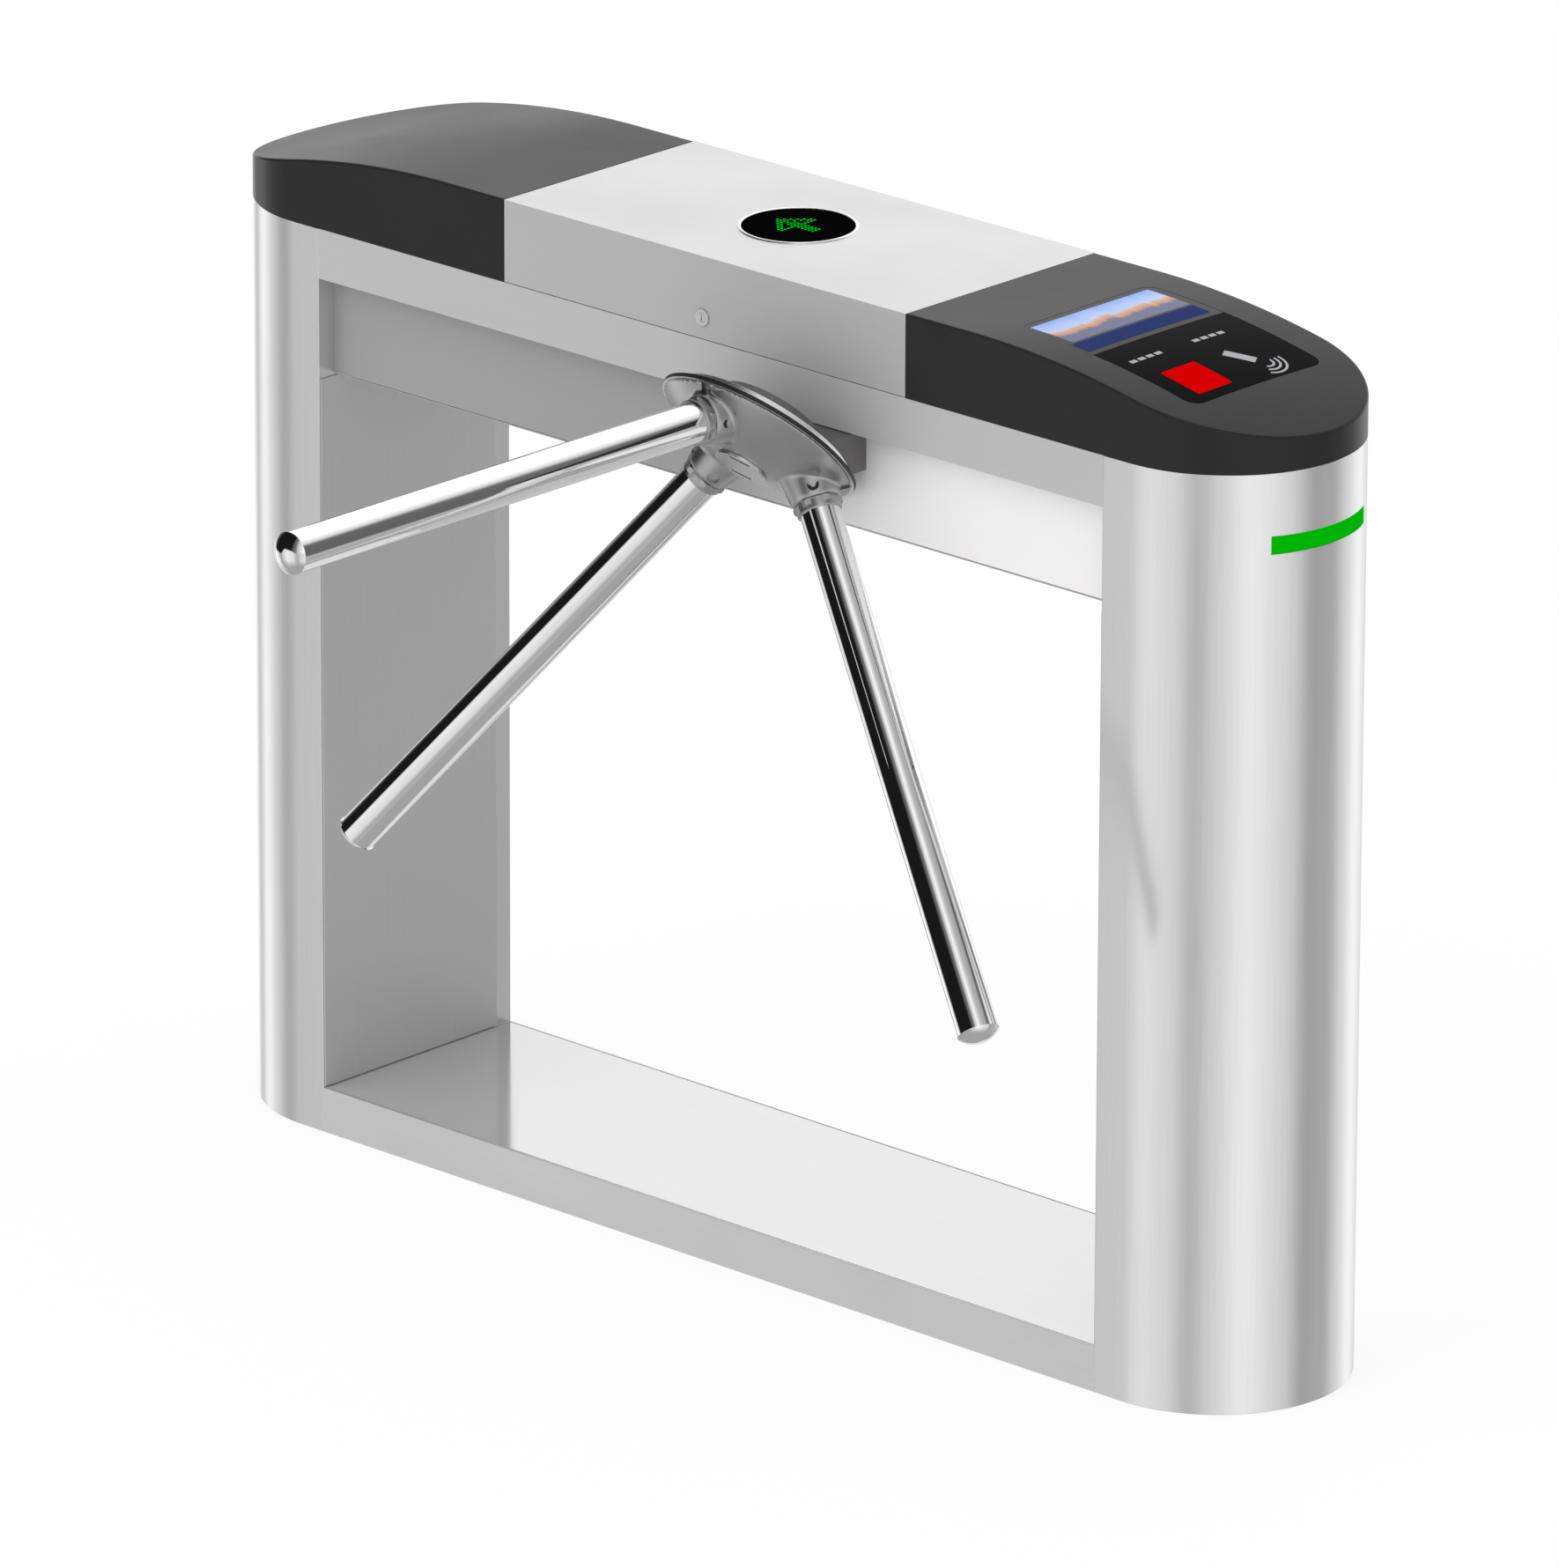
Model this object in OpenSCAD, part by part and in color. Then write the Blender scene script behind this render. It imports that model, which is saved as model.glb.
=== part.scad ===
// Bridge type tripod turnstile: a stainless steel cabinet with two round-ended columns,
// a floor sill and a top beam around an open window, and a tilted three-arm rotor on its side.
// Millimetres. X runs along the passage, the rotor stands out on the -Y side and Z is up.
// The origin lies on the floor under the middle of the cabinet.

/* [Cabinet] */
// Overall length, rounded ends included
body_l = 1310; // [1200:10:1500]
// Overall width
body_w = 256; // [250:2:290]
// Height from the floor to the top of the centre cover
body_h = 980; // [940:5:1080]
// Thickness of the stainless steel sheet
sheet_t = 2; // [1.5:0.25:2.5]
// Length of a column along the cabinet, its rounded end included
column_l = 161; // [150:1:180]
// Height of the floor sill
sill_h = 45; // [40:1:70]
// Height of the steel rail above the window
rail_h = 49; // [45:1:60]
// How far the mechanism housing hangs below the rail
housing_drop = 98; // [90:1:120]
// How far the housing panels stand back from the cabinet face
housing_inset = 20.5; // [18:0.5:24]
// Joint gap around the centre cover
joint_gap = 0.8; // [0.5:0.1:0.9]

/* [Top covers] */
// Length of a moulded end cap, its rounded end included
cap_l = 402; // [380:1:420]
// Height of the centre cover and of the end caps
cover_h = 80; // [76:1:90]
// Wall of the moulded end caps
cap_t = 3; // [2.5:0.5:4]
// Distance from the middle of the cabinet over which the top is level
cap_flat_r = 350; // [340:5:400]
// Radius of the arc that the end caps fall along from there
cap_arc_r = 950; // [900:10:1300]

/* [Reader window] */
// Length of the smoked reader window along the cabinet
reader_l = 214; // [190:2:218]
// Width of the reader window
reader_w = 176; // [150:2:178]
// Thickness of the reader window
reader_t = 3; // [2.5:0.5:4]

/* [Rotor] */
// Place of the rotor along the cabinet
hub_x = 124; // [60:1:150]
// Distance from the cabinet face to the point where the arm axes cross
apex_out = 23.5; // [23:0.5:30]
// Distance from the cabinet top down to that point
apex_drop = 98.5; // [96:0.5:100]
// Outside diameter of an arm tube
arm_d = 38; // [32:1:40]
// Wall of an arm tube
arm_wall = 1.5; // [1.2:0.1:2]
// Distance from the crossing point to the tip of an arm
arm_l = 647; // [500:1:660]
// Radius of the index plate
hub_r = 100; // [98:1:101]
// Thickness of the index plate
plate_t = 4; // [4:0.5:7]
// Number of locking holes in the index plate
index_count = 12; // [12, 24]

/* [Indicator and lock] */
// Diameter of the indicator on the centre cover
indicator_d = 112; // [90:1:130]
// Diameter of the key lock head
lock_d = 16; // [14:1:20]

/* [Light strip] */
// Height of the light strip
strip_h = 16; // [10:1:20]
// Distance from the top of the column down to the strip
strip_drop = 60; // [50:1:120]
// Half of the angle that the strip covers around the column
strip_half = 29; // [15:1:60]

/* [Hidden] */

$fn = 96;
// One overrun for every cut that runs past a face
over = 1;
// Running clearance of a turning or sliding fit, on the radius
run_fit = 0.05;
// Clearance around a round piece that sits in a hole
seat_fit = 0.2;
// Clearance around a moulded or sheet piece that drops into an opening
drop_fit = 0.4;

// Cabinet places
seam_z = body_h - cover_h;
rail_z = seam_z - rail_h;
floor_z = rail_z - housing_drop;
// Length of the open window between the two columns
window_l = body_l - 2 * column_l;
half_w = body_w / 2;
panel_y = half_w - housing_inset;
return_w = 12;
// Width of the near and the far return of a column's inner wall
near_return = 18;
far_return = 36;
far_return_seen = 20;
service_t = 1.5;
service_gap = 1;
service_lap = 15;
port_margin = 12;
// Width, reach and thickness of the hooks behind a service panel
hook_w = 30;
hook_l = 8;
hook_pitch = 70;
cable_port_w = 120;
cable_port_z = 12;
cable_port_h = 24;

// Base plates
base_t = 8;
anchor_rim = 91;
anchor_x = (column_l - anchor_rim) / 2;
anchor_y = 80;
anchor_r = 7;
anchor_edge = 39;
anchor_back = (column_l - anchor_edge) / 2;
conduit_r = 28;

// Fasteners, by shank radius
m5_r = 2.5;
m6_r = 3;
m8_r = 4;
// Head radius and head height as shares of the shank radius
head_r_share = 1.7;
head_h_share = 1.4;

// End cap places
cover_l = body_l - 2 * cap_l;
boss_r = 6.5;
boss_y = panel_y - boss_r;
bridge_w = 24;
bridge_t = 3;
bridge_in = 40;
bridge_out = 24;
bridge_1_x = cover_l / 2 + bridge_in;
bridge_2_x = window_l / 2 - bridge_out;
cap_screw_l = 16;

// Reader places
reader_in = 100;
reader_x = cover_l / 2 + reader_in;
reader_corner = 14;
frame_lap = 5;
frame_t = 3;
display_l = 92;
display_t = 9;
module_w = 70;
module_l = 84;
module_gap = 14;
card_reader_t = 5;
scanner_t = 18;

// Hinge of the centre cover
hinge_r = 4;
hinge_leaf_h = 22;
hinge_leaf_t = 1.6;
hinge_l = 60;
hinge_in = 166;
hinge_x = (cover_l - hinge_in) / 2;
hinge_pin_r = 2;
knuckle_gap = 0.4;

// Key lock, on the near side of the centre cover
lock_rise = 21.5;
lock_z = seam_z + lock_rise;
lock_head_t = 1.6;
lock_sleeve_r = 6.5;
lock_sleeve_l = 8;
lock_plug_r = 4.5;
lock_nut_t = 4;
cam_w = 8;
// Gap between the tip of the hanging cam and the rail
cam_gap = 1.5;
cam_l = lock_rise - cam_gap;
cam_t = 2.5;
strike_gap = 1;
strike_x = 15;
strike_post_x = cam_l + 2 * strike_gap;
strike_post_w = 7;
strike_wall = 6;
// Room that the cover's front wall needs as it swings up past the strike
strike_room = 3.5;

// Indicator
bezel_lap = 4;
lens_h = 1.2;
lens_cup_h = 8;
lens_wall = 2;
board_t = 1.6;
led_r = 1.4;
led_h = 2;
led_pitch = 8;
led_rows = 4;

// Light strip
strip_t = 3;
strip_board_t = 1.6;

// Rotor frame: the axis leans out and down at this angle, and each arm leaves the
// axis at the rest of a right angle, so one arm is level and an opposite one is plumb
tilt = 45;
arm_lean = 90 - tilt;
arm_r = arm_d / 2;
apex_y = -half_w - apex_out;
apex_z = body_h - apex_drop;
// Distances along the axis from the crossing point
plate_z = 44.5;
hub_z = plate_z + plate_t;
dome_h = 30.5;
hub_front = hub_z + dome_h;
plate_gap = 2.5;
neck_front = plate_z - plate_gap;
block_back = 8.5;
block_front = plate_z - block_back;
plate_rim = 1;
hub_base_r = hub_r - plate_rim;
hub_front_r = 26;
// Centre and radius of the sphere through the dome's base and front edges
dome_z = (hub_base_r ^ 2 + hub_z ^ 2 - hub_front_r ^ 2 - hub_front ^ 2) / (2 * (hub_z - hub_front));
dome_r = sqrt(hub_base_r ^ 2 + (hub_z - dome_z) ^ 2);
lip_r = 84;
lip_t = 4;
lip_h = 7.5;
pin_r = 6;
pin_ring_r = 70;
pin_slack = 0.6;
pin_hole_r = pin_r + pin_slack;
pin_angle = 15;
pin_tail = -52;

// Spindle and bearings
journal_r = 12.5;
journal_shoulder_r = 15;
flange_r = 34;
flange_t = 6;
spindle_tail_l = 12;
bearing_r = 21;
bearing_w = 9;
bearing_gap = 0.3;
bearing_land_r = 18;
spindle_end_r = 10;
spindle_nut_r = 17;
spindle_nut_t = 6;
spindle_nut_back = 2;
spindle_nut_z = hub_front - spindle_nut_back - spindle_nut_t;
spindle_screw_ring = 25;
spindle_screw_l = 18;
front_bearing_z = spindle_nut_z - bearing_gap - bearing_w;
hub_cap_t = 3;
hub_cap_slot_w = 4;
hub_cap_slot_l = 21;
// Distance of the slots from the axis, and their turn, level with the plumb arm
hub_cap_slot_x = 18;
hub_cap_slot_turn = 60;

// Neck bracket
neck_disc_r = 50;
neck_disc_t = 22;
neck_w = 124;
neck_top_gap = 1;
neck_h = 38;
neck_boss_w = 60;
neck_boss_h = 58;
neck_bolt_x = 50;
neck_bolt_edge = 9.5;
neck_bolt_l = 37;
backing_t = 5;
backing_w = 220;
backing_margin = 4;

// Arm roots
socket_z = 93;
boss_z = 60;
boss_end = 111;
// Radius of an arm boss at its root in the dome and at its end
arm_boss_r = 32;
arm_boss_end_r = 23;
arm_bolt_z = 101;
arm_bolt_r = 4;
arm_bolt_head_r = 5.5;
arm_bolt_flat = 20.5;
arm_bolt_head_h = 4;
socket_share = 0.65;
nut_hex_r = 23.2;
nut_hex_h = 6;
nut_ring_r = 21;
nut_ring_h = 4;
plug_rim = 0.8;
plug_dome_h = 9;
plug_l = 20;

// Solenoids and encoder, and the seat of the neck bolts' heads on the solenoid bracket
solenoid_r = 15;
solenoid_front = -27;
solenoid_l = 46;
solenoid_bore_r = pin_r + drop_fit;
solenoid_wall = 2;
bracket_t = 3;
bracket_w = 84;
bracket_rise = 18;
neck_bolt_y = -panel_y + sheet_t + backing_t + bracket_t;
wheel_r = 8;
wheel_w = 5.5;
wheel_shaft_r = 2;
wheel_shaft_l = 9;
wheel_gap = 0.3;
wheel_place_r = lip_r - wheel_r - wheel_gap;
encoder_r = 8;
encoder_l = 13;
encoder_gap = 1;
encoder_front = block_front + encoder_gap;

// Control electronics on the housing floor, to the left of the rotor
control_share = 0.3;
control_x = -window_l * control_share;
control_l = 190;
control_w = 110;
standoff_h = 10;
standoff_r = 4;
chip_h = 14;
chip_margin = 14;
supply_l = 120;
supply_h = 42;
supply_share = 0.086;
supply_x = -window_l * supply_share;

// Plain shapes

// D-shaped outline of length l and width w: flat at x = 0, round at the far end
module d_plan(l, w) {
    intersection() {
        union() {
            translate([l - w / 2, 0]) circle(d = w);
            translate([0, -w / 2]) square([l - w / 2, w]);
        }
        translate([0, -w / 2]) square([l, w]);
    }
}

// A box centred on x and y, standing on z = 0
module slab(l, w, h) {
    translate([-l / 2, -w / 2, 0]) cube([l, w, h]);
}

// The children on the right, or mirrored to the left
module on_side(side) {
    mirror([side < 0 ? 1 : 0, 0, 0]) children();
}

// The rotor's own frame: z runs out along its axis, y points up and out
module at_hub() {
    translate([hub_x, apex_y, apex_z]) rotate([90 + tilt, 0, 0]) children();
}

// The frame of arm k, with z along the arm
module at_arm(k) {
    rotate([0, 0, 90 + k * 120]) rotate([0, arm_lean, 0]) children();
}

// The axis of one locking pin, or of both, in the rotor's frame
module at_pin(side) {
    rotate([0, 0, -90 + side * pin_angle]) translate([pin_ring_r, 0, 0]) children();
}

module at_pins() {
    for (side = [-1, 1]) at_pin(side) children();
}

// The axes of the four screws in the spindle's flange, in the rotor's frame
module at_spindle_screws() {
    for (k = [0:3]) rotate([0, 0, 45 + k * 90]) translate([spindle_screw_ring, 0, 0]) children();
}

// A cap screw with its head on z = 0 and its shank pointing down
module screw(r, l) {
    cylinder(r = r * head_r_share, h = r * head_h_share);
    translate([0, 0, -l]) cylinder(r = r, h = l + r * head_h_share);
}

// Cabinet

module column_shell(side) {
    on_side(side) translate([window_l / 2, 0, 0]) difference() {
        linear_extrude(seam_z) d_plan(column_l, body_w);
        translate([sheet_t, 0, -over]) linear_extrude(seam_z + 2 * over)
            d_plan(column_l - 2 * sheet_t, body_w - 2 * sheet_t);
        // service opening behind the removable panel
        translate([-over, -half_w + near_return, sill_h + service_lap])
            cube([sheet_t + 2 * over, body_w - near_return - far_return,
                floor_z - sill_h - 2 * service_lap]);
        // way through for cables from the housing
        translate([-over, -panel_y + port_margin, floor_z + port_margin])
            cube([sheet_t + 2 * over, 2 * (panel_y - port_margin), rail_h + housing_drop]);
        // way through for cables from the sill
        translate([-over, -cable_port_w / 2, cable_port_z])
            cube([sheet_t + 2 * over, cable_port_w, cable_port_h]);
    }
}

module left_column() {
    color("#b9b8b8") column_shell(-1);
}

module right_column() {
    color("#c4c3c3") difference() {
        column_shell(1);
        strip_sector(half_w + over, half_w - sheet_t - over, drop_fit);
    }
}

// Sector of a ring around the right column's nose at the height of the light strip
module strip_sector(r_out, r_in, gap) {
    reach = 2 * r_out;
    half = strip_half + gap * 180 / (PI * half_w);
    translate([body_l / 2 - half_w, 0, seam_z - strip_drop - strip_h - gap])
        linear_extrude(strip_h + 2 * gap) intersection() {
            difference() {
                circle(r = r_out);
                circle(r = r_in);
            }
            polygon([[0, 0], [reach, -reach * tan(half)], [reach, reach * tan(half)]]);
        }
}

module base_plate(side) {
    color("#7d7f82") on_side(side) difference() {
        translate([window_l / 2 + sheet_t + seat_fit, 0, 0]) linear_extrude(base_t)
            d_plan(column_l - 2 * (sheet_t + seat_fit), body_w - 2 * (sheet_t + seat_fit));
        translate([window_l / 2 + anchor_back, 0, -over]) {
            cylinder(r = conduit_r, h = base_t + 2 * over);
            for (x = [-anchor_x, anchor_x], y = [-anchor_y, anchor_y])
                translate([x, y, 0]) cylinder(r = anchor_r, h = base_t + 2 * over);
        }
    }
}

module left_base_plate() {
    base_plate(-1);
}

module right_base_plate() {
    base_plate(1);
}

module sill_trough() {
    inner = body_w - 2 * sheet_t;
    ledge_z = sill_h - 2 * sheet_t;
    color("#b4b4b4") difference() {
        slab(window_l, body_w, sill_h);
        translate([0, 0, sheet_t]) slab(window_l + 2 * over, inner, ledge_z - sheet_t);
        translate([0, 0, sheet_t])
            slab(window_l + 2 * over, inner - 2 * return_w, sill_h);
        translate([0, 0, ledge_z + sheet_t])
            slab(window_l + 2 * over, inner, sill_h);
    }
}

module sill_cover() {
    color("#e2e0e0") translate([0, 0, sill_h - sheet_t])
        slab(window_l - 2 * drop_fit, body_w - 2 * (sheet_t + joint_gap), sheet_t);
}

// Rail above the window: an upright with a return below and a return on top
module rail(side) {
    lower_w = housing_inset;
    color("#b6b5b5") mirror([0, side > 0 ? 1 : 0, 0]) translate([0, -half_w, 0]) {
        translate([-window_l / 2, 0, rail_z]) cube([window_l, sheet_t, rail_h]);
        translate([-window_l / 2, 0, rail_z]) cube([window_l, lower_w, sheet_t]);
        translate([-window_l / 2, 0, seam_z - sheet_t]) cube([window_l, return_w + sheet_t, sheet_t]);
    }
}

module near_rail() {
    rail(-1);
}

module far_rail() {
    rail(1);
}

// Upright housing panel, from the floor plate to just under the seam
module housing_panel() {
    translate([-window_l / 2, -panel_y, floor_z + sheet_t])
        cube([window_l, sheet_t, seam_z - floor_z - sheet_t - port_margin]);
}

module near_housing_panel() {
    color("#bdbcbc") difference() {
        housing_panel();
        neck_bolt_shapes(m8_r + seat_fit);
        at_hub() at_pins() translate([0, 0, solenoid_front])
            cylinder(r = pin_r + 2 * run_fit + over, h = neck_front - solenoid_front);
        encoder_room();
    }
}

module far_housing_panel() {
    color("#bdbcbc") mirror([0, 1, 0]) housing_panel();
}

module housing_floor() {
    color("#a9a9aa") translate([0, 0, floor_z]) slab(window_l, 2 * panel_y, sheet_t);
}

// Panels over the service openings, with hooks that hold on behind the openings' edges
module service_panels() {
    z_low = sill_h + service_gap;
    y_low = -half_w + service_gap;
    z_edge = [sill_h + service_lap, floor_z - service_lap];
    color("#9f9f9f") for (side = [-1, 1]) on_side(side) translate([window_l / 2, 0, 0]) {
        translate([-service_t, y_low, z_low])
            cube([service_t, half_w - far_return_seen - y_low, floor_z - service_gap - z_low]);
        for (i = [-1, 1], end = [0, 1])
            translate([0, (near_return - far_return) / 2 + i * hook_pitch, z_edge[end]]) mirror([0, 0, end]) {
                translate([0, -hook_w / 2, 0]) cube([sheet_t + service_t, hook_w, service_t]);
                translate([sheet_t, -hook_w / 2, -hook_l]) cube([service_t, hook_w, hook_l]);
            }
    }
}

// End caps

// Everything up to the depth below the top surface, which is level in the middle
// of the cabinet and falls along an arc towards both noses
module under_top(depth) {
    reach = body_l / 2 + over;
    rotate_extrude($fn = 180) {
        translate([0, seam_z - over]) square([cap_flat_r, cover_h + over - depth]);
        intersection() {
            translate([cap_flat_r, body_h - cap_arc_r]) circle(r = cap_arc_r - depth, $fn = 720);
            translate([cap_flat_r, seam_z - over]) square([reach - cap_flat_r, cover_h + 2 * over]);
        }
    }
}

// Outer form of the right cap, or with every face but the lower one moved in by inset
module cap_form(inset) {
    intersection() {
        translate([cover_l / 2 + inset, 0, seam_z]) linear_extrude(cover_h)
            d_plan(cap_l - 2 * inset, body_w - 2 * inset);
        under_top(inset);
    }
}

module cap_shell(side) {
    on_side(side) {
        difference() {
            cap_form(0);
            translate([0, 0, -over]) cap_form(cap_t);
            cap_form(cap_t);
        }
        // screw bosses down to the bridges
        difference() {
            intersection() {
                cap_form(cap_t / 2);
                cap_bosses(boss_r, cover_h);
            }
            cap_bosses(m5_r, cap_screw_l);
        }
    }
}

module cap_bosses(r, h) {
    for (x = [bridge_1_x, bridge_2_x], y = [-boss_y, boss_y])
        translate([x, y, seam_z]) cylinder(r = r, h = h);
}

module left_end_cap() {
    color("#2b292a") cap_shell(-1);
}

module right_end_cap() {
    color("#353233") difference() {
        cap_shell(1);
        reader_prism(drop_fit, cover_h);
    }
}

// Strips under the rails' top returns, to which the caps are screwed
module cap_bridges() {
    color("#8f9092") for (side = [-1, 1], x = [bridge_1_x, bridge_2_x])
        on_side(side) difference() {
            union() {
                translate([x, 0, seam_z - sheet_t - bridge_t])
                    slab(bridge_w, body_w - 2 * sheet_t, bridge_t);
                for (y = [-boss_y, boss_y]) translate([x, y, seam_z - sheet_t])
                    cylinder(r = boss_r, h = sheet_t);
            }
            for (y = [-boss_y, boss_y]) translate([x, y, seam_z - sheet_t - bridge_t - over])
                cylinder(r = m5_r + seat_fit, h = sheet_t + bridge_t + 2 * over);
        }
}

module cap_screws() {
    color("#6f7072") for (side = [-1, 1], x = [bridge_1_x, bridge_2_x], y = [-boss_y, boss_y])
        on_side(side) translate([x, y, seam_z - sheet_t - bridge_t]) rotate([180, 0, 0])
            screw(m5_r, cap_screw_l);
}

// Centre cover, its hinge and its lock

module centre_cover() {
    l = cover_l - 2 * joint_gap;
    h = cover_h - joint_gap;
    color("#d9d8d8") difference() {
        translate([0, 0, seam_z + joint_gap]) slab(l, body_w, h);
        translate([0, 0, seam_z + joint_gap - over])
            slab(l - 2 * sheet_t, body_w - 2 * sheet_t, h + over - sheet_t);
        translate([0, 0, body_h - sheet_t - over])
            cylinder(r = indicator_d / 2 - bezel_lap, h = sheet_t + 2 * over);
        translate([0, -half_w - over, lock_z]) rotate([-90, 0, 0])
            cylinder(r = lock_sleeve_r + seat_fit, h = sheet_t + 2 * over);
    }
}

// Knuckles of one hinge, each of length l, at the given places along the pin
module knuckles(l, places) {
    for (side = [-1, 1], p = places)
        translate([side * hinge_x + p - l / 2, half_w + hinge_r, seam_z]) rotate([0, 90, 0])
            difference() {
                cylinder(r = hinge_r, h = l);
                translate([0, 0, -over]) cylinder(r = hinge_pin_r + run_fit, h = l + 2 * over);
            }
}

// Leaves of both hinges against the steel, above or below the pin, cleared round the barrel
module leaves(up, places, l) {
    for (side = [-1, 1]) difference() {
        translate([side * hinge_x, half_w + hinge_leaf_t / 2, seam_z + (up ? joint_gap : -hinge_leaf_h)])
            slab(hinge_l, hinge_leaf_t, hinge_leaf_h - (up ? joint_gap : 0));
        for (p = places)
            translate([side * hinge_x + p - l / 2 - knuckle_gap, half_w + hinge_r, seam_z])
                rotate([0, 90, 0]) cylinder(r = hinge_r + knuckle_gap, h = l + 2 * knuckle_gap);
    }
}

module hinge_cover_leaves() {
    l = hinge_l / 3 - knuckle_gap;
    color("#a7a7a7") difference() {
        union() {
            leaves(true, [-hinge_l / 3, hinge_l / 3], hinge_l / 3);
            knuckles(l, [0]);
        }
        pin_bores();
    }
}

module hinge_rail_leaves() {
    l = hinge_l / 3 - knuckle_gap;
    color("#9d9d9d") difference() {
        union() {
            leaves(false, [0], hinge_l / 3);
            knuckles(l, [-hinge_l / 3, hinge_l / 3]);
        }
        pin_bores();
    }
}

module pin_bores() {
    for (side = [-1, 1])
        translate([side * hinge_x - hinge_l, half_w + hinge_r, seam_z]) rotate([0, 90, 0])
            cylinder(r = hinge_pin_r + run_fit, h = 2 * hinge_l);
}

module hinge_pins() {
    color("#77787a") for (side = [-1, 1])
        translate([side * hinge_x - hinge_l / 2, half_w + hinge_r, seam_z]) rotate([0, 90, 0])
            cylinder(r = hinge_pin_r, h = hinge_l);
}

// The lock's frame: z points into the cabinet from the face of the centre cover
module at_lock() {
    translate([0, -half_w, lock_z]) rotate([-90, 0, 0]) children();
}

module lock_housing() {
    color("#cfcfcf") at_lock() difference() {
        union() {
            translate([0, 0, -lock_head_t]) cylinder(r = lock_d / 2, h = lock_head_t);
            cylinder(r = lock_sleeve_r, h = lock_sleeve_l);
        }
        translate([0, 0, -lock_head_t - over])
            cylinder(r = lock_plug_r + run_fit, h = lock_head_t + lock_sleeve_l + 2 * over);
    }
}

module lock_nut() {
    color("#8a8b8d") at_lock() translate([0, 0, sheet_t]) difference() {
        cylinder(r = lock_sleeve_r + lock_nut_t, h = lock_nut_t, $fn = 6);
        translate([0, 0, -over]) cylinder(r = lock_sleeve_r + run_fit, h = lock_nut_t + 2 * over);
    }
}

module lock_plug() {
    slot_w = 1.2;
    slot_l = 6;
    color("#8f8f8f") at_lock() difference() {
        translate([0, 0, -lock_head_t]) cylinder(r = lock_plug_r, h = lock_head_t + lock_sleeve_l);
        translate([0, 0, -lock_head_t - over]) slab(slot_w, slot_l, lock_head_t + over);
    }
}

// The cam stands up when unlocked and points to the strike when locked
module lock_cam() {
    color("#77787a") at_lock() translate([0, 0, lock_sleeve_l]) {
        cylinder(r = cam_w / 2, h = cam_t);
        translate([-cam_w / 2, 0, 0]) cube([cam_w, cam_l, cam_t]);
    }
}

// Post on the near rail with a hook over the tip of the cam once that is turned
module lock_strike() {
    post_y = -half_w + sheet_t + strike_room;
    hook_z = lock_z + cam_w / 2 + strike_gap;
    color("#8f9092") union() {
        translate([strike_post_x, post_y, seam_z])
            cube([strike_post_w, return_w - strike_room, hook_z + strike_wall - seam_z]);
        translate([strike_x, post_y, hook_z])
            cube([strike_post_x + strike_post_w - strike_x, return_w - strike_room, strike_wall]);
    }
}

// Indicator in the centre cover

module indicator_lens() {
    rim_r = indicator_d / 2;
    cup_r = rim_r - bezel_lap - seat_fit;
    color("#0d0f0d") {
        translate([0, 0, body_h]) cylinder(r = rim_r, h = lens_h);
        translate([0, 0, body_h - lens_cup_h]) difference() {
            cylinder(r = cup_r, h = lens_cup_h + lens_h);
            translate([0, 0, -over]) cylinder(r = cup_r - lens_wall, h = lens_cup_h + over - lens_wall / 2);
        }
    }
}

module indicator_board() {
    color("#1d4a2c") translate([0, 0, body_h - lens_cup_h - board_t])
        cylinder(r = indicator_d / 2 - bezel_lap - seat_fit, h = board_t);
}

module indicator_leds() {
    color("#35d45a") for (i = [-led_rows:led_rows], j = [-led_rows:led_rows])
        if (i ^ 2 + j ^ 2 <= led_rows ^ 2)
            translate([i * led_pitch, j * led_pitch, body_h - lens_cup_h])
                cylinder(r = led_r, h = led_h, $fn = 24);
}

// Reader in the right cap

module rounded_rect(l, w, r) {
    for (x = [-l / 2 + r, l / 2 - r], y = [-w / 2 + r, w / 2 - r]) translate([x, y]) circle(r = r);
    square([l - 2 * r, w], center = true);
    square([l, w - 2 * r], center = true);
}

// Upright prism of the reader window's outline, grown by gap
module reader_prism(gap, h) {
    translate([reader_x + reader_l / 2, 0, seam_z + cover_h / 4]) linear_extrude(h)
        rounded_rect(reader_l + 2 * gap, reader_w + 2 * gap, reader_corner + gap);
}

// The layer between two depths below the top surface
module top_layer(depth, t) {
    difference() {
        under_top(depth);
        under_top(depth + t);
        translate([-body_l, -body_l, seam_z - 2 * over]) cube([2 * body_l, 2 * body_l, cover_h / 4]);
    }
}

module reader_window() {
    color("#050607") intersection() {
        reader_prism(0, cover_h);
        top_layer(0, reader_t);
    }
}

// Moulded frame that holds the window from below
module reader_frame() {
    color("#1b1b1c") difference() {
        intersection() {
            reader_prism(frame_lap, cover_h);
            top_layer(cap_t, frame_t);
        }
        reader_prism(-frame_lap, 2 * cover_h);
    }
}

// A flat module hung close under the window, between x and x + l and between y1 and y2
module under_reader(x, l, y1, y2, t) {
    far_r = sqrt((x + l) ^ 2 + max(abs(y1), abs(y2)) ^ 2);
    top = body_h - cap_arc_r + sqrt((cap_arc_r - reader_t) ^ 2 - (far_r - cap_flat_r) ^ 2) - seat_fit;
    translate([x, y1, top - t]) cube([l, y2 - y1, t]);
}

module display_module() {
    half = reader_w / 2 - frame_lap - seat_fit;
    color("#26282c") under_reader(reader_x + frame_lap + seat_fit, display_l, -half, half, display_t);
}

module card_reader() {
    x = reader_x + frame_lap + display_l + module_gap;
    color("#1f5a36") under_reader(x, module_l, module_gap / 2, module_gap / 2 + module_w, card_reader_t);
}

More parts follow.
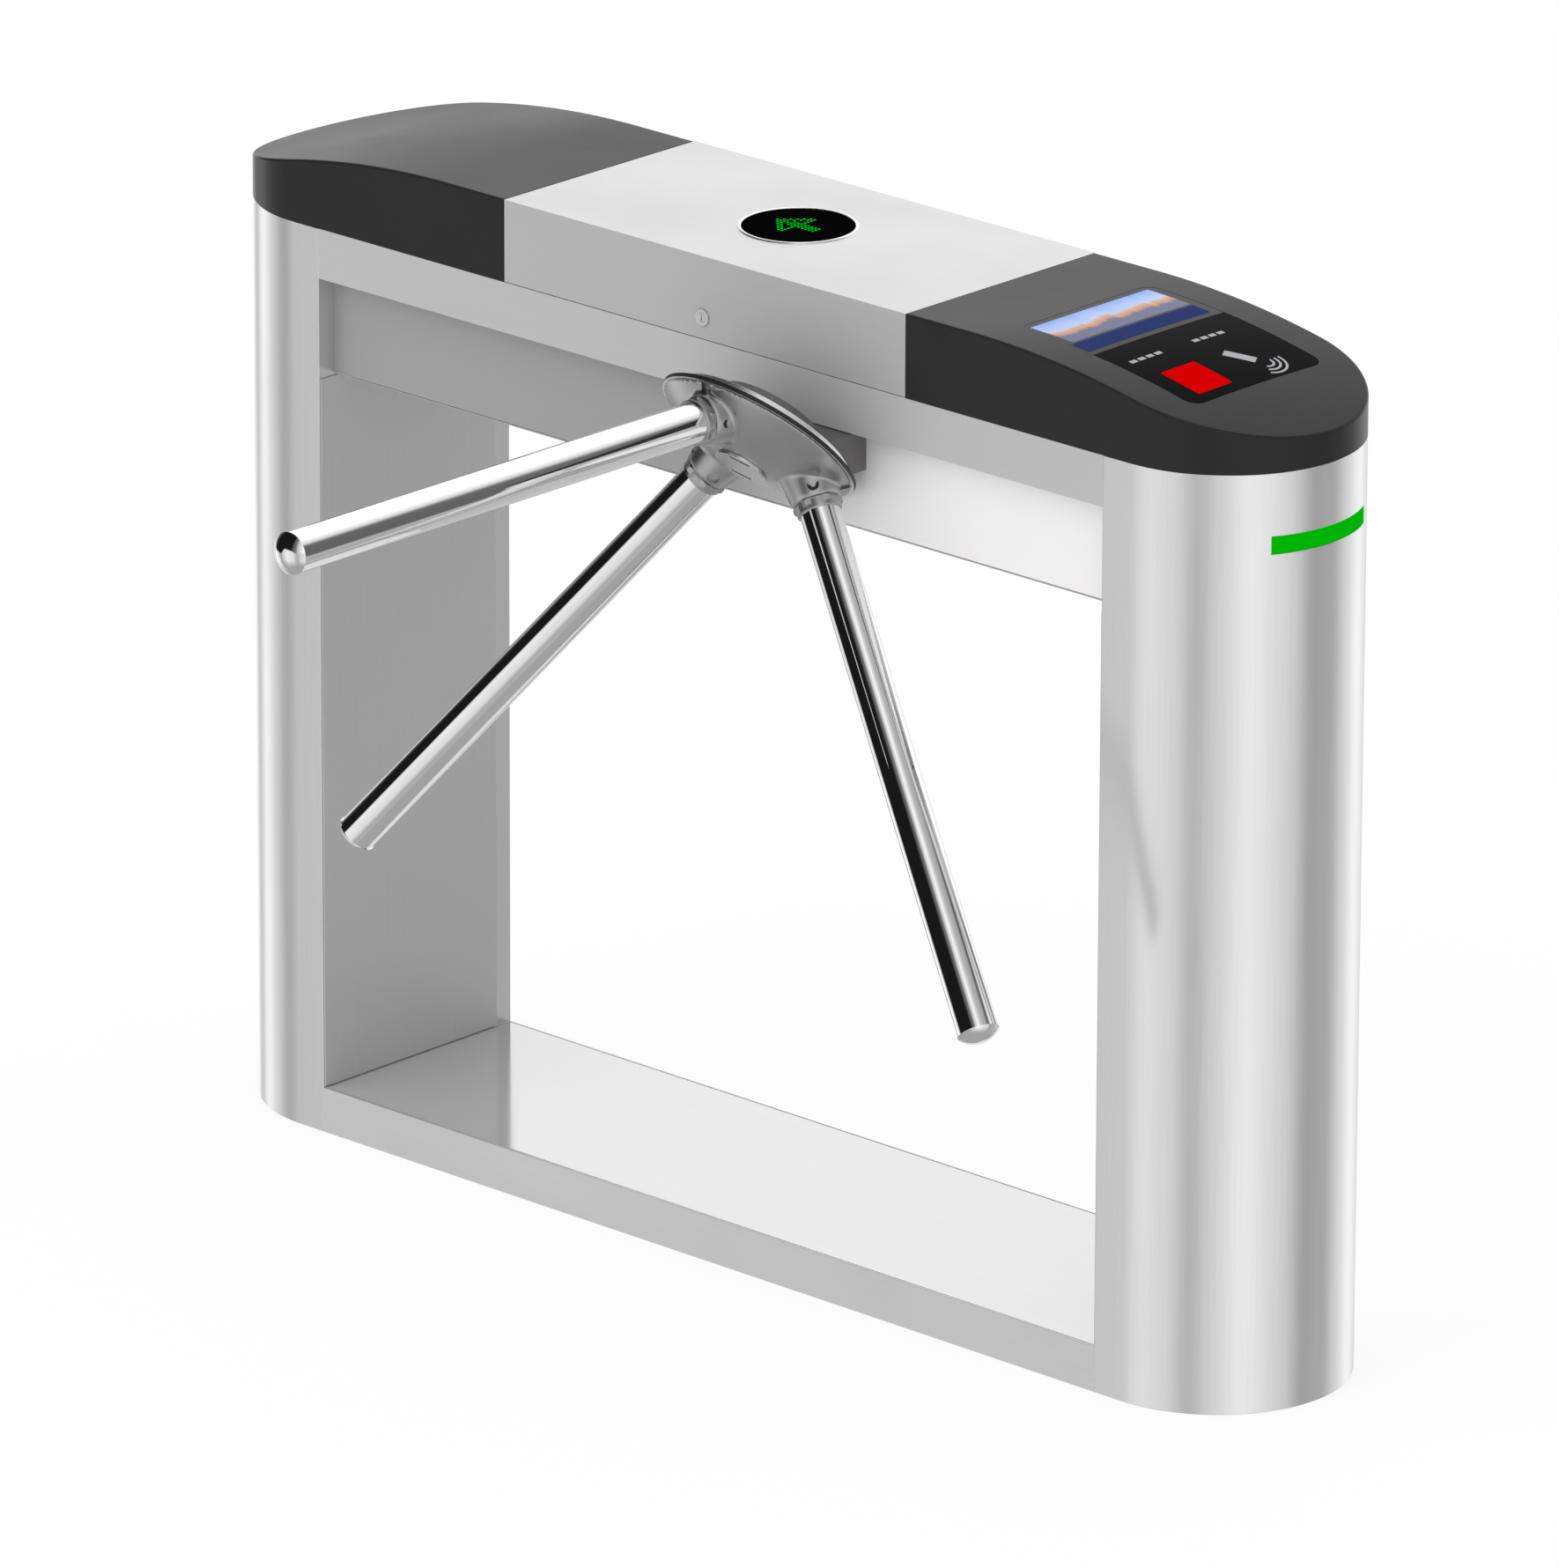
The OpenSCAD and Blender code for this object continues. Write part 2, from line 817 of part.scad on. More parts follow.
module code_scanner() {
    x = reader_x + frame_lap + display_l + module_gap;
    color("#3a1416") under_reader(x, module_l, -module_gap / 2 - module_w, -module_gap / 2, scanner_t);
}

// Light strip around the right column

module light_strip() {
    color("#00b050") strip_sector(half_w, half_w - strip_t, 0);
}

module light_strip_board() {
    color("#e8e8e0") strip_sector(half_w - strip_t, half_w - strip_t - strip_board_t, 0);
}

// Rotor carrier

// The four bolts' shanks along y, from inside the housing into the neck bracket
module neck_bolt_shapes(r) {
    for (x = [-neck_bolt_x, neck_bolt_x], z = [neck_bolt_edge, neck_h - neck_bolt_edge])
        translate([hub_x + x, neck_bolt_y, rail_z - neck_top_gap - z]) rotate([90, 0, 0])
            translate([0, 0, -over]) cylinder(r = r, h = neck_bolt_l + over);
}

module neck_bolts() {
    color("#6f7072") for (x = [-neck_bolt_x, neck_bolt_x], z = [neck_bolt_edge, neck_h - neck_bolt_edge])
        translate([hub_x + x, neck_bolt_y, rail_z - neck_top_gap - z]) rotate([-90, 0, 0])
            screw(m8_r, neck_bolt_l);
}

// Thick plate behind the near panel, which carries the rotor's load
module backing_plate() {
    color("#85878a") difference() {
        translate([hub_x - backing_w / 2, -panel_y + sheet_t, floor_z + sheet_t])
            cube([backing_w, backing_t, seam_z - floor_z - sheet_t - port_margin - backing_margin]);
        neck_bolt_shapes(m8_r + seat_fit);
        at_hub() at_pins() translate([0, 0, solenoid_front])
            cylinder(r = pin_r + 2 * run_fit + over, h = neck_front - solenoid_front);
        encoder_room();
    }
}

// Way through the panels behind the encoder, for its cable
module encoder_room() {
    at_hub() translate([0, -wheel_place_r, 0]) cylinder(r = encoder_r / 2, h = encoder_front);
}

// Cast bracket: a block on the near panel under the rail, with a tilted disc for the spindle
module neck_bracket() {
    top = rail_z - neck_top_gap;
    color("#6b6c6e") difference() {
        union() {
            intersection() {
                union() {
                    translate([hub_x, -panel_y - body_w / 2, top - neck_h])
                        slab(neck_w, body_w, neck_h);
                    translate([hub_x, -panel_y - body_w / 2, top - neck_boss_h])
                        slab(neck_boss_w, body_w, neck_boss_h);
                }
                at_hub() translate([0, 0, -body_w]) cylinder(r = body_w, h = body_w + block_front);
            }
            at_hub() translate([0, 0, neck_front - neck_disc_t]) cylinder(r = neck_disc_r, h = neck_disc_t);
        }
        at_hub() {
            translate([0, 0, neck_front - flange_t]) cylinder(r = flange_r + seat_fit, h = flange_t + over);
            translate([0, 0, neck_front - neck_disc_t - over])
                cylinder(r = journal_r + seat_fit, h = neck_disc_t + over);
            at_spindle_screws() translate([0, 0, neck_front - spindle_screw_l])
                cylinder(r = m6_r, h = spindle_screw_l);
            at_pins() translate([0, 0, solenoid_front]) cylinder(r = pin_r + run_fit, h = 2 * body_w);
            translate([0, -wheel_place_r, encoder_front - encoder_l])
                cylinder(r = encoder_r + seat_fit, h = body_w);
            translate([0, -wheel_place_r, 0]) cylinder(r = encoder_r / 2, h = encoder_front);
        }
        neck_bolt_shapes(m8_r);
    }
}

// Fixed stub axle: a flange in the bracket, a journal for two bearings and a threaded end
module spindle() {
    color("#a3a5a8") at_hub() difference() {
        union() {
            translate([0, 0, neck_front - flange_t]) cylinder(r = flange_r, h = flange_t);
            translate([0, 0, neck_front - flange_t - spindle_tail_l])
                cylinder(r = journal_r, h = spindle_tail_l);
            translate([0, 0, neck_front])
                cylinder(r = journal_shoulder_r, h = hub_z - bearing_gap - neck_front);
            translate([0, 0, neck_front]) cylinder(r = journal_r, h = spindle_nut_z - neck_front);
            translate([0, 0, neck_front])
                cylinder(r = spindle_end_r, h = spindle_nut_z + spindle_nut_t - neck_front);
        }
        at_spindle_screws() {
            translate([0, 0, neck_front - flange_t - over])
                cylinder(r = m6_r + seat_fit, h = flange_t + 2 * over);
            translate([0, 0, neck_front - m6_r * head_h_share])
                cylinder(r = m6_r * head_r_share + seat_fit, h = flange_t);
        }
    }
}

module spindle_screws() {
    color("#6f7072") at_hub() at_spindle_screws() translate([0, 0, neck_front - m6_r * head_h_share])
        screw(m6_r, spindle_screw_l - m6_r * head_h_share);
}

module spindle_nut() {
    color("#7d7f82") at_hub() translate([0, 0, spindle_nut_z]) difference() {
        cylinder(r = spindle_nut_r, h = spindle_nut_t, $fn = 6);
        translate([0, 0, -over]) cylinder(r = spindle_end_r + run_fit, h = spindle_nut_t + 2 * over);
    }
}

// Rotor

module hub_bearings() {
    color("#c9cbce") at_hub() for (z = [hub_z, front_bearing_z])
        translate([0, 0, z]) difference() {
            cylinder(r = bearing_r, h = bearing_w);
            translate([0, 0, -over]) cylinder(r = journal_r + run_fit, h = bearing_w + 2 * over);
        }
}

module hub_body() {
    reach = 2 * hub_r;
    color("#a9abad") at_hub() difference() {
        union() {
            intersection() {
                translate([0, 0, dome_z]) sphere(r = dome_r);
                translate([0, 0, hub_z]) cylinder(r = hub_base_r, h = hub_front - hub_z);
            }
            for (k = [0:2]) intersection() {
                at_arm(k) translate([0, 0, boss_z]) cylinder(r1 = arm_boss_r, r2 = arm_boss_end_r, h = boss_end - boss_z);
                translate([0, 0, hub_z]) cylinder(r = reach, h = reach);
            }
        }
        translate([0, 0, hub_z - over]) cylinder(r = bearing_r, h = bearing_w + over);
        translate([0, 0, hub_z - over]) cylinder(r = bearing_land_r, h = reach);
        translate([0, 0, front_bearing_z]) cylinder(r = bearing_r, h = reach);
        for (k = [0:2]) {
            at_arm(k) {
                translate([0, 0, socket_z]) cylinder(r = arm_r + run_fit, h = reach);
                arm_bolt_cuts(arm_bolt_r + seat_fit);
            }
            rotate([0, 0, 30 + k * 120]) translate([pin_ring_r, 0, hub_z - over])
                cylinder(r = m5_r, h = bearing_w + over);
        }
    }
}

// Hole for the cross bolt of an arm, with flats for its head and nut, in the arm's frame
module arm_bolt_cuts(r) {
    translate([0, 0, arm_bolt_z]) rotate([90, 0, 0]) {
        translate([0, 0, -2 * arm_boss_r]) cylinder(r = r, h = 4 * arm_boss_r);
        for (side = [0, 1]) mirror([0, 0, side]) translate([0, 0, arm_bolt_flat])
            cylinder(r = arm_bolt_head_r + 2 * seat_fit, h = arm_boss_r);
    }
}

module index_plate() {
    color("#57595c") at_hub() difference() {
        union() {
            translate([0, 0, plate_z]) cylinder(r = hub_r, h = plate_t);
            translate([0, 0, plate_z - lip_h]) cylinder(r = lip_r + lip_t, h = lip_h + plate_t / 2);
        }
        translate([0, 0, plate_z - lip_h - over]) cylinder(r = lip_r, h = lip_h + over);
        cylinder(r = bearing_land_r, h = hub_front);
        for (k = [0:index_count - 1]) rotate([0, 0, -90 + pin_angle + k * 360 / index_count])
            translate([pin_ring_r, 0, 0]) cylinder(r = pin_hole_r, h = hub_front);
        for (k = [0:2]) rotate([0, 0, 30 + k * 120]) translate([pin_ring_r, 0, 0]) {
            cylinder(r = m5_r + seat_fit, h = hub_front);
            cylinder(r = m5_r * head_r_share + seat_fit, h = plate_z + m5_r * head_h_share);
        }
    }
}

module index_screws() {
    color("#8a8b8d") at_hub() for (k = [0:2]) rotate([0, 0, 30 + k * 120])
        translate([pin_ring_r, 0, plate_z + m5_r * head_h_share]) rotate([180, 0, 0])
            screw(m5_r, plate_t + bearing_w / 2);
}

// Front cover of the hub, with two slots for a spanner
module hub_cap() {
    color("#c9cbce") at_hub() difference() {
        union() {
            translate([0, 0, hub_front]) cylinder(r = hub_front_r, h = hub_cap_t);
            translate([0, 0, hub_front - spindle_nut_back / 2])
                cylinder(r = bearing_r - seat_fit, h = hub_cap_t);
        }
        rotate([0, 0, hub_cap_slot_turn]) for (side = [-1, 1])
            translate([side * hub_cap_slot_x, 0, hub_front + hub_cap_t / 2])
                slab(hub_cap_slot_w, hub_cap_slot_l, hub_cap_t);
    }
}

module arm(k) {
    color("#c6c8cb") at_hub() at_arm(k) difference() {
        translate([0, 0, socket_z]) cylinder(r = arm_r, h = arm_l - plug_dome_h - socket_z);
        translate([0, 0, socket_z - over]) cylinder(r = arm_r - arm_wall, h = arm_l);
        translate([0, 0, arm_bolt_z]) rotate([90, 0, 0]) translate([0, 0, -arm_d])
            cylinder(r = arm_bolt_r + seat_fit, h = 2 * arm_d);
    }
}

module arm_1() {
    arm(0);
}

module arm_2() {
    arm(1);
}

module arm_3() {
    arm(2);
}

// Domed plugs in the arm tips
module arm_end_plugs() {
    rim_r = arm_r + plug_rim;
    ball_r = (rim_r ^ 2 + plug_dome_h ^ 2) / (2 * plug_dome_h);
    color("#d7d9db") at_hub() for (k = [0:2]) at_arm(k) {
        intersection() {
            translate([0, 0, arm_l - ball_r]) sphere(r = ball_r);
            translate([0, 0, arm_l - plug_dome_h]) cylinder(r = rim_r, h = plug_dome_h);
        }
        translate([0, 0, arm_l - plug_dome_h - plug_l])
            cylinder(r = arm_r - arm_wall - run_fit, h = plug_l + over);
    }
}

// Clamping nuts at the mouths of the arm sockets
module arm_nuts() {
    color("#b9bbbd") at_hub() for (k = [0:2]) at_arm(k) translate([0, 0, boss_end]) difference() {
        union() {
            cylinder(r = nut_hex_r, h = nut_hex_h, $fn = 6);
            cylinder(r = nut_ring_r, h = nut_hex_h + nut_ring_h);
        }
        translate([0, 0, -over]) cylinder(r = arm_r + run_fit, h = nut_hex_h + nut_ring_h + 2 * over);
    }
}

// Cross bolts through bosses and tubes, each with its nut
module arm_bolts() {
    end_z = arm_bolt_flat + arm_bolt_head_h;
    color("#6f7072") at_hub() for (k = [0:2]) at_arm(k) translate([0, 0, arm_bolt_z]) rotate([-90, 0, 0])
        difference() {
            union() {
                translate([0, 0, -end_z]) cylinder(r = arm_bolt_r, h = 2 * end_z - arm_bolt_head_h);
                translate([0, 0, arm_bolt_flat]) cylinder(r = arm_bolt_head_r, h = arm_bolt_head_h);
                translate([0, 0, -end_z + over])
                    cylinder(r = arm_bolt_head_r, h = arm_bolt_head_h - over, $fn = 6);
            }
            translate([0, 0, end_z - arm_bolt_head_h / 2])
                cylinder(r = arm_bolt_r * socket_share, h = arm_bolt_head_h, $fn = 6);
        }
}

// Locking

// A pin in its released place, one pin for each direction of turn
module lock_pin(side) {
    color("#d0d2d4") at_hub() at_pin(side) translate([0, 0, pin_tail])
        cylinder(r = pin_r, h = plate_z - over - pin_tail);
}

module lock_pin_1() {
    lock_pin(-1);
}

module lock_pin_2() {
    lock_pin(1);
}

module solenoids() {
    color("#2c2d30") at_hub() at_pins() translate([0, 0, solenoid_front - solenoid_l]) difference() {
        cylinder(r = solenoid_r, h = solenoid_l);
        translate([0, 0, solenoid_wall]) cylinder(r = solenoid_bore_r, h = solenoid_l);
    }
}

// Bent sheet under the heads of the neck bolts, which carries the solenoids
module solenoid_bracket() {
    leaf_y = neck_bolt_y - bracket_t;
    color("#9b9c9e") difference() {
        union() {
            translate([hub_x - neck_w / 2, leaf_y, rail_z - neck_top_gap - neck_h])
                cube([neck_w, bracket_t, neck_h + bracket_rise]);
            intersection() {
                at_hub() translate([-bracket_w / 2, -pin_ring_r - solenoid_r - bracket_t, solenoid_front])
                    cube([bracket_w, body_w, bracket_t]);
                translate([hub_x - bracket_w, leaf_y, 0]) cube([2 * bracket_w, body_w, body_h]);
            }
        }
        at_hub() at_pins() translate([0, 0, solenoid_front - over])
            cylinder(r = pin_r + over, h = neck_front - solenoid_front);
        encoder_room();
        neck_bolt_shapes(m8_r + seat_fit);
    }
}

// Friction wheel that runs inside the index plate's lip, on the encoder's shaft
module encoder_wheel() {
    color("#2a2a2b") at_hub() translate([0, -wheel_place_r, plate_z - over / 2 - wheel_w]) {
        cylinder(r = wheel_r, h = wheel_w);
        translate([0, 0, -wheel_shaft_l]) cylinder(r = wheel_shaft_r, h = wheel_shaft_l + over);
    }
}

module encoder_body() {
    color("#3c3f44") at_hub() translate([0, -wheel_place_r, encoder_front - encoder_l]) difference() {
        cylinder(r = encoder_r, h = encoder_l);
        translate([0, 0, encoder_l - wheel_shaft_l]) cylinder(r = wheel_shaft_r + run_fit, h = encoder_l);
    }
}

// Control electronics

module control_board() {
    foot_x = control_l / 2 - 2 * standoff_r;
    foot_y = control_w / 2 - 2 * standoff_r;
    color("#24603a") translate([control_x, 0, floor_z + sheet_t]) {
        translate([0, 0, standoff_h]) slab(control_l, control_w, board_t);
        for (x = [-foot_x, foot_x], y = [-foot_y, foot_y])
            translate([x, y, 0]) cylinder(r = standoff_r, h = standoff_h);
        translate([-control_l / 4, 0, standoff_h + board_t]) slab(control_l / 4, control_w / 2, chip_h);
        translate([control_l / 2 - chip_margin, 0, standoff_h + board_t])
            slab(chip_margin, control_w - 2 * chip_margin, chip_h);
    }
}

module power_supply() {
    color("#9ea0a2") translate([supply_x, 0, floor_z + sheet_t])
        slab(supply_l, control_w, supply_h);
}

left_column();
right_column();
left_base_plate();
right_base_plate();
sill_trough();
sill_cover();
near_rail();
far_rail();
near_housing_panel();
far_housing_panel();
housing_floor();
service_panels();
left_end_cap();
right_end_cap();
cap_bridges();
cap_screws();
centre_cover();
hinge_cover_leaves();
hinge_rail_leaves();
hinge_pins();
lock_housing();
lock_nut();
lock_plug();
lock_cam();
lock_strike();
indicator_lens();
indicator_board();
indicator_leds();
reader_window();
reader_frame();
display_module();
card_reader();
code_scanner();
light_strip();
light_strip_board();
backing_plate();
neck_bracket();
neck_bolts();
spindle();
spindle_screws();
spindle_nut();
hub_bearings();
hub_body();
index_plate();
index_screws();
hub_cap();
arm_1();
arm_2();
arm_3();
arm_end_plugs();
arm_nuts();
arm_bolts();
lock_pin_1();
lock_pin_2();
solenoids();
solenoid_bracket();
encoder_wheel();
encoder_body();
control_board();
power_supply();
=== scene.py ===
import math
import bpy
from mathutils import Matrix, Vector


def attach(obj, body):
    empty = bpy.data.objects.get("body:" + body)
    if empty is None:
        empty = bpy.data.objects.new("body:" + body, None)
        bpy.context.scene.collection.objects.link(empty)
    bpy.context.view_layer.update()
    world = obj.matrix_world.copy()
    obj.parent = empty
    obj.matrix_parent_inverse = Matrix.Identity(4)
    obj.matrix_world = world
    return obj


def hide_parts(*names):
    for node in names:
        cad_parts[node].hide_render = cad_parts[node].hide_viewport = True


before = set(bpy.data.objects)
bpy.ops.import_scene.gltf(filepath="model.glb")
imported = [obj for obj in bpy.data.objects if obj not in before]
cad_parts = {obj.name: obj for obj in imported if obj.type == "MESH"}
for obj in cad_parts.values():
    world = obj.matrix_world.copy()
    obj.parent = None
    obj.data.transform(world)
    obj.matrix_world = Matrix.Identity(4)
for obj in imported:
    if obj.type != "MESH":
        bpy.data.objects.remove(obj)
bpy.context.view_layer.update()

# Places and sizes in metres, as the solids have them
MM = 0.001
CABINET_L = 1310 * MM
CABINET_W = 256 * MM
CABINET_H = 980 * MM
SEAM_Z = 900 * MM
COVER_L = 506 * MM
JOINT_GAP = 0.8 * MM
NOSE_R = CABINET_W / 2
NOSE_X = CABINET_L / 2 - NOSE_R
CAP_FLAT_R = 350 * MM
CAP_ARC_R = 950 * MM
CAP_WALL = 3 * MM
CAP_EDGE_R = 2.5 * MM
READER_X = (353 * MM, 567 * MM)
READER_W = 176 * MM
READER_T = 3 * MM
READER_CORNER = 14 * MM
READER_GAP = 0.4 * MM
APEX = Vector((124 * MM, -151.5 * MM, 881.5 * MM))
AT_HUB = Matrix.Translation(APEX) @ Matrix.Rotation(math.radians(135), 4, "X")
ARM_LEAN = Matrix.Rotation(math.radians(-45), 4, "X")
INDICATOR_R = 56 * MM
TOUCH = 0.00001
OVERRUN = 10 * MM


# Selecting and shaping by hand operators
def take(piece):
    bpy.ops.object.select_all(action="DESELECT")
    piece.select_set(True)
    bpy.context.view_layer.objects.active = piece
    return piece


def edit(piece):
    take(piece)
    bpy.ops.object.mode_set(mode="EDIT")
    bpy.ops.mesh.select_mode(type="VERT")
    bpy.ops.mesh.select_all(action="SELECT")


def leave():
    bpy.ops.object.mode_set(mode="OBJECT")


def pick(piece, test, kind="VERT"):
    """Select in edit mode what passes the test: corners by place, faces by centre and normal."""
    leave()
    mesh = piece.data
    for part in (*mesh.vertices, *mesh.edges, *mesh.polygons):
        part.select = False
    if kind == "VERT":
        for corner in mesh.vertices:
            corner.select = test(corner.co)
    elif kind == "EDGE":
        for line in mesh.edges:
            line.select = test(*(mesh.vertices[i].co for i in line.vertices))
    else:
        for face in mesh.polygons:
            face.select = test(face.center, face.normal)
    bpy.ops.object.mode_set(mode="EDIT")
    bpy.ops.mesh.select_mode(type=kind)


def pull(move):
    bpy.ops.mesh.extrude_region_move(TRANSFORM_OT_translate={"value": move})


def tidy_faces(inside=False):
    bpy.ops.mesh.select_all(action="SELECT")
    bpy.ops.mesh.remove_doubles(threshold=TOUCH)
    bpy.ops.mesh.normals_make_consistent(inside=inside)


def work(piece, kind, **settings):
    """Add a modifier and apply it."""
    take(piece)
    step = piece.modifiers.new(kind.title(), kind)
    for key, value in settings.items():
        setattr(step, key, value)
    bpy.ops.object.modifier_apply(modifier=step.name)
    return piece


def cut(piece, tool, operation="DIFFERENCE"):
    work(piece, "BOOLEAN", object=tool, operation=operation, solver="EXACT")
    bpy.data.objects.remove(tool, do_unlink=True)
    return piece


def settle(piece, matrix=None):
    """Put the piece's place into its mesh."""
    take(piece)
    if matrix is not None:
        piece.matrix_world = matrix @ piece.matrix_world
    bpy.ops.object.transform_apply(location=True, rotation=True, scale=True)
    return piece


def shade(piece, angle=32, even=True):
    take(piece)
    bpy.ops.object.shade_smooth_by_angle(angle=math.radians(angle))
    if even:
        work(piece, "WEIGHTED_NORMAL", keep_sharp=True)
    return piece


def soften(piece, width, segments=2, angle=40):
    return work(piece, "BEVEL", width=width, segments=segments, limit_method="ANGLE",
                angle_limit=math.radians(angle), use_clamp_overlap=True)


def fit(piece, name, body, finish, slot, *nodes):
    """Name the piece, give it its finish and set it on its body in place of its nodes."""
    piece.name = name
    piece.data.name = name
    piece.data.materials.clear()
    piece.data.materials.append(finish)
    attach(piece, body)
    if nodes:
        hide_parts(*nodes)
    return piece


def paint_faces(piece, finish, test):
    """Give some faces a second finish."""
    piece.data.materials.append(finish)
    for face in piece.data.polygons:
        if test(face.center, face.normal):
            face.material_index = len(piece.data.materials) - 1


def twin(piece):
    copy = piece.copy()
    copy.data = piece.data.copy()
    bpy.context.scene.collection.objects.link(copy)
    return copy


def from_solid(node):
    """A copy of a solid's mesh, joined up and with its flat faces made whole."""
    copy = twin(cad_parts[node])
    copy.parent = None
    copy.matrix_world = Matrix.Identity(4)
    for key in list(copy.keys()):
        del copy[key]
    edit(copy)
    bpy.ops.mesh.remove_doubles(threshold=TOUCH)
    bpy.ops.mesh.dissolve_limited(angle_limit=math.radians(0.6))
    leave()
    return copy


def dress(node, body, finish, slot, width=0.6 * MM, segments=2, angle=40):
    """A sheet, moulding or turned part with its edges broken."""
    piece = from_solid(node)
    if width:
        soften(piece, width, segments, angle)
    shade(piece)
    return fit(piece, node + "_dressed", body, finish, slot, node)


def join(pieces):
    take(pieces[0])
    for piece in pieces:
        piece.select_set(True)
    bpy.ops.object.join()
    return bpy.context.object


def turned(outline, steps=96, closed=False):
    """A turned part: the outline is (radius, height) points, spun round the Z axis."""
    bpy.ops.object.select_all(action="DESELECT")
    bpy.ops.mesh.primitive_plane_add(size=MM, location=(0, 0, 0))
    piece = bpy.context.object
    edit(piece)
    bpy.ops.mesh.merge(type="CENTER")
    at = Vector((outline[0][0], 0, outline[0][1]))
    bpy.ops.transform.translate(value=at)
    points = list(outline[1:]) + ([outline[0]] if closed else [])
    for radius, height in points:
        to = Vector((radius, 0, height))
        pull(to - at)
        at = to
    bpy.ops.mesh.select_all(action="SELECT")
    bpy.ops.mesh.spin(steps=steps, angle=math.tau, center=(0, 0, 0), axis=(0, 0, 1))
    tidy_faces()
    leave()
    return piece


def disc(radius, low, high, steps):
    return turned([(0, low), (radius, low), (radius, high), (0, high)], steps)


def block(low, high):
    """A block between two corners, all faces, as a start for cutting and shaping."""
    low, high = Vector(low), Vector(high)
    bpy.ops.object.select_all(action="DESELECT")
    bpy.ops.mesh.primitive_cube_add(size=1, location=(low + high) / 2, scale=high - low)
    return settle(bpy.context.object)


# The falling top of the end caps
def cap_fall(x, y):
    past = math.hypot(x, y) - CAP_FLAT_R
    if past <= 0:
        return 0
    return CAP_ARC_R - math.sqrt(CAP_ARC_R ** 2 - past ** 2)


def lay_on_cap(piece):
    """Let all that was made level at the top of the cabinet follow the falling top."""
    for corner in piece.data.vertices:
        if corner.co.z > (SEAM_Z + CABINET_H) / 2:
            corner.co.z -= cap_fall(corner.co.x, corner.co.y)
    piece.data.update()
    return piece


# Finishes
def blank_finish(name, **sockets):
    finish = bpy.data.materials.new(name)
    finish.use_nodes = True
    nodes = finish.node_tree.nodes
    surface = nodes["Principled BSDF"]
    for key, value in sockets.items():
        surface.inputs[key.replace("_", " ")].default_value = value
    return finish, nodes, finish.node_tree.links, surface


def grain(nodes, links, stretch, detail=4.0, turn=(0, 0, 0)):
    """Noise on the piece's own coordinates, stretched by three scales per metre."""
    place = nodes.new("ShaderNodeTexCoord")
    lay = nodes.new("ShaderNodeMapping")
    lay.inputs["Scale"].default_value = stretch
    lay.inputs["Rotation"].default_value = turn
    noise = nodes.new("ShaderNodeTexNoise")
    noise.inputs["Scale"].default_value = 1.0
    noise.inputs["Detail"].default_value = detail
    noise.inputs["Roughness"].default_value = 0.6
    links.new(place.outputs["Object"], lay.inputs["Vector"])
    links.new(lay.outputs["Vector"], noise.inputs["Vector"])
    return noise.outputs["Fac"]


def tint(nodes, links, value, low, high, target, spread=(0.3, 0.7)):
    """Colours from low to high by a value."""
    ramp = nodes.new("ShaderNodeValToRGB")
    ramp.color_ramp.elements[0].position = spread[0]
    ramp.color_ramp.elements[1].position = spread[1]
    ramp.color_ramp.elements[0].color = (*low, 1)
    ramp.color_ramp.elements[1].color = (*high, 1)
    links.new(value, ramp.inputs["Fac"])
    links.new(ramp.outputs["Color"], target)
    return ramp


def span(nodes, links, value, low, high, target):
    """A number from low to high by a value."""
    ruler = nodes.new("ShaderNodeMapRange")
    ruler.inputs["From Min"].default_value = 0.3
    ruler.inputs["From Max"].default_value = 0.7
    ruler.inputs["To Min"].default_value = low
    ruler.inputs["To Max"].default_value = high
    links.new(value, ruler.inputs["Value"])
    links.new(ruler.outputs["Result"], target)


def relief(nodes, links, value, depth, strength, target):
    bump = nodes.new("ShaderNodeBump")
    bump.inputs["Strength"].default_value = strength
    bump.inputs["Distance"].default_value = depth
    links.new(value, bump.inputs["Height"])
    links.new(bump.outputs["Normal"], target)


def shades(colour, change):
    return (tuple(c * (1 - change) for c in colour), tuple(min(1, c * (1 + change)) for c in colour))


def brushed(name, colour, roughness, along, change=0.02, metal=1.0):
    """Sheet steel with a fine grain along one axis."""
    finish, nodes, links, surface = blank_finish(name, Metallic=metal)
    stretch = [900.0, 900.0, 900.0]
    stretch["xyz".index(along)] = 7.0
    lines = grain(nodes, links, stretch, 5.0)
    broad = grain(nodes, links, (6.0, 6.0, 6.0), 2.0)
    tint(nodes, links, lines, *shades(colour, change), surface.inputs["Base Color"])
    span(nodes, links, broad, roughness * 0.9, roughness * 1.1, surface.inputs["Roughness"])
    relief(nodes, links, lines, 0.00003, 0.12, surface.inputs["Normal"])
    return finish


def plated(name, colour, roughness, change=0.02):
    """Chromed or polished steel with faint polishing marks."""
    finish, nodes, links, surface = blank_finish(name, Metallic=1.0)
    marks = grain(nodes, links, (260.0, 260.0, 260.0), 3.0)
    broad = grain(nodes, links, (14.0, 14.0, 14.0), 3.0)
    tint(nodes, links, broad, *shades(colour, change), surface.inputs["Base Color"])
    span(nodes, links, marks, roughness * 0.7, roughness * 1.4, surface.inputs["Roughness"])
    return finish


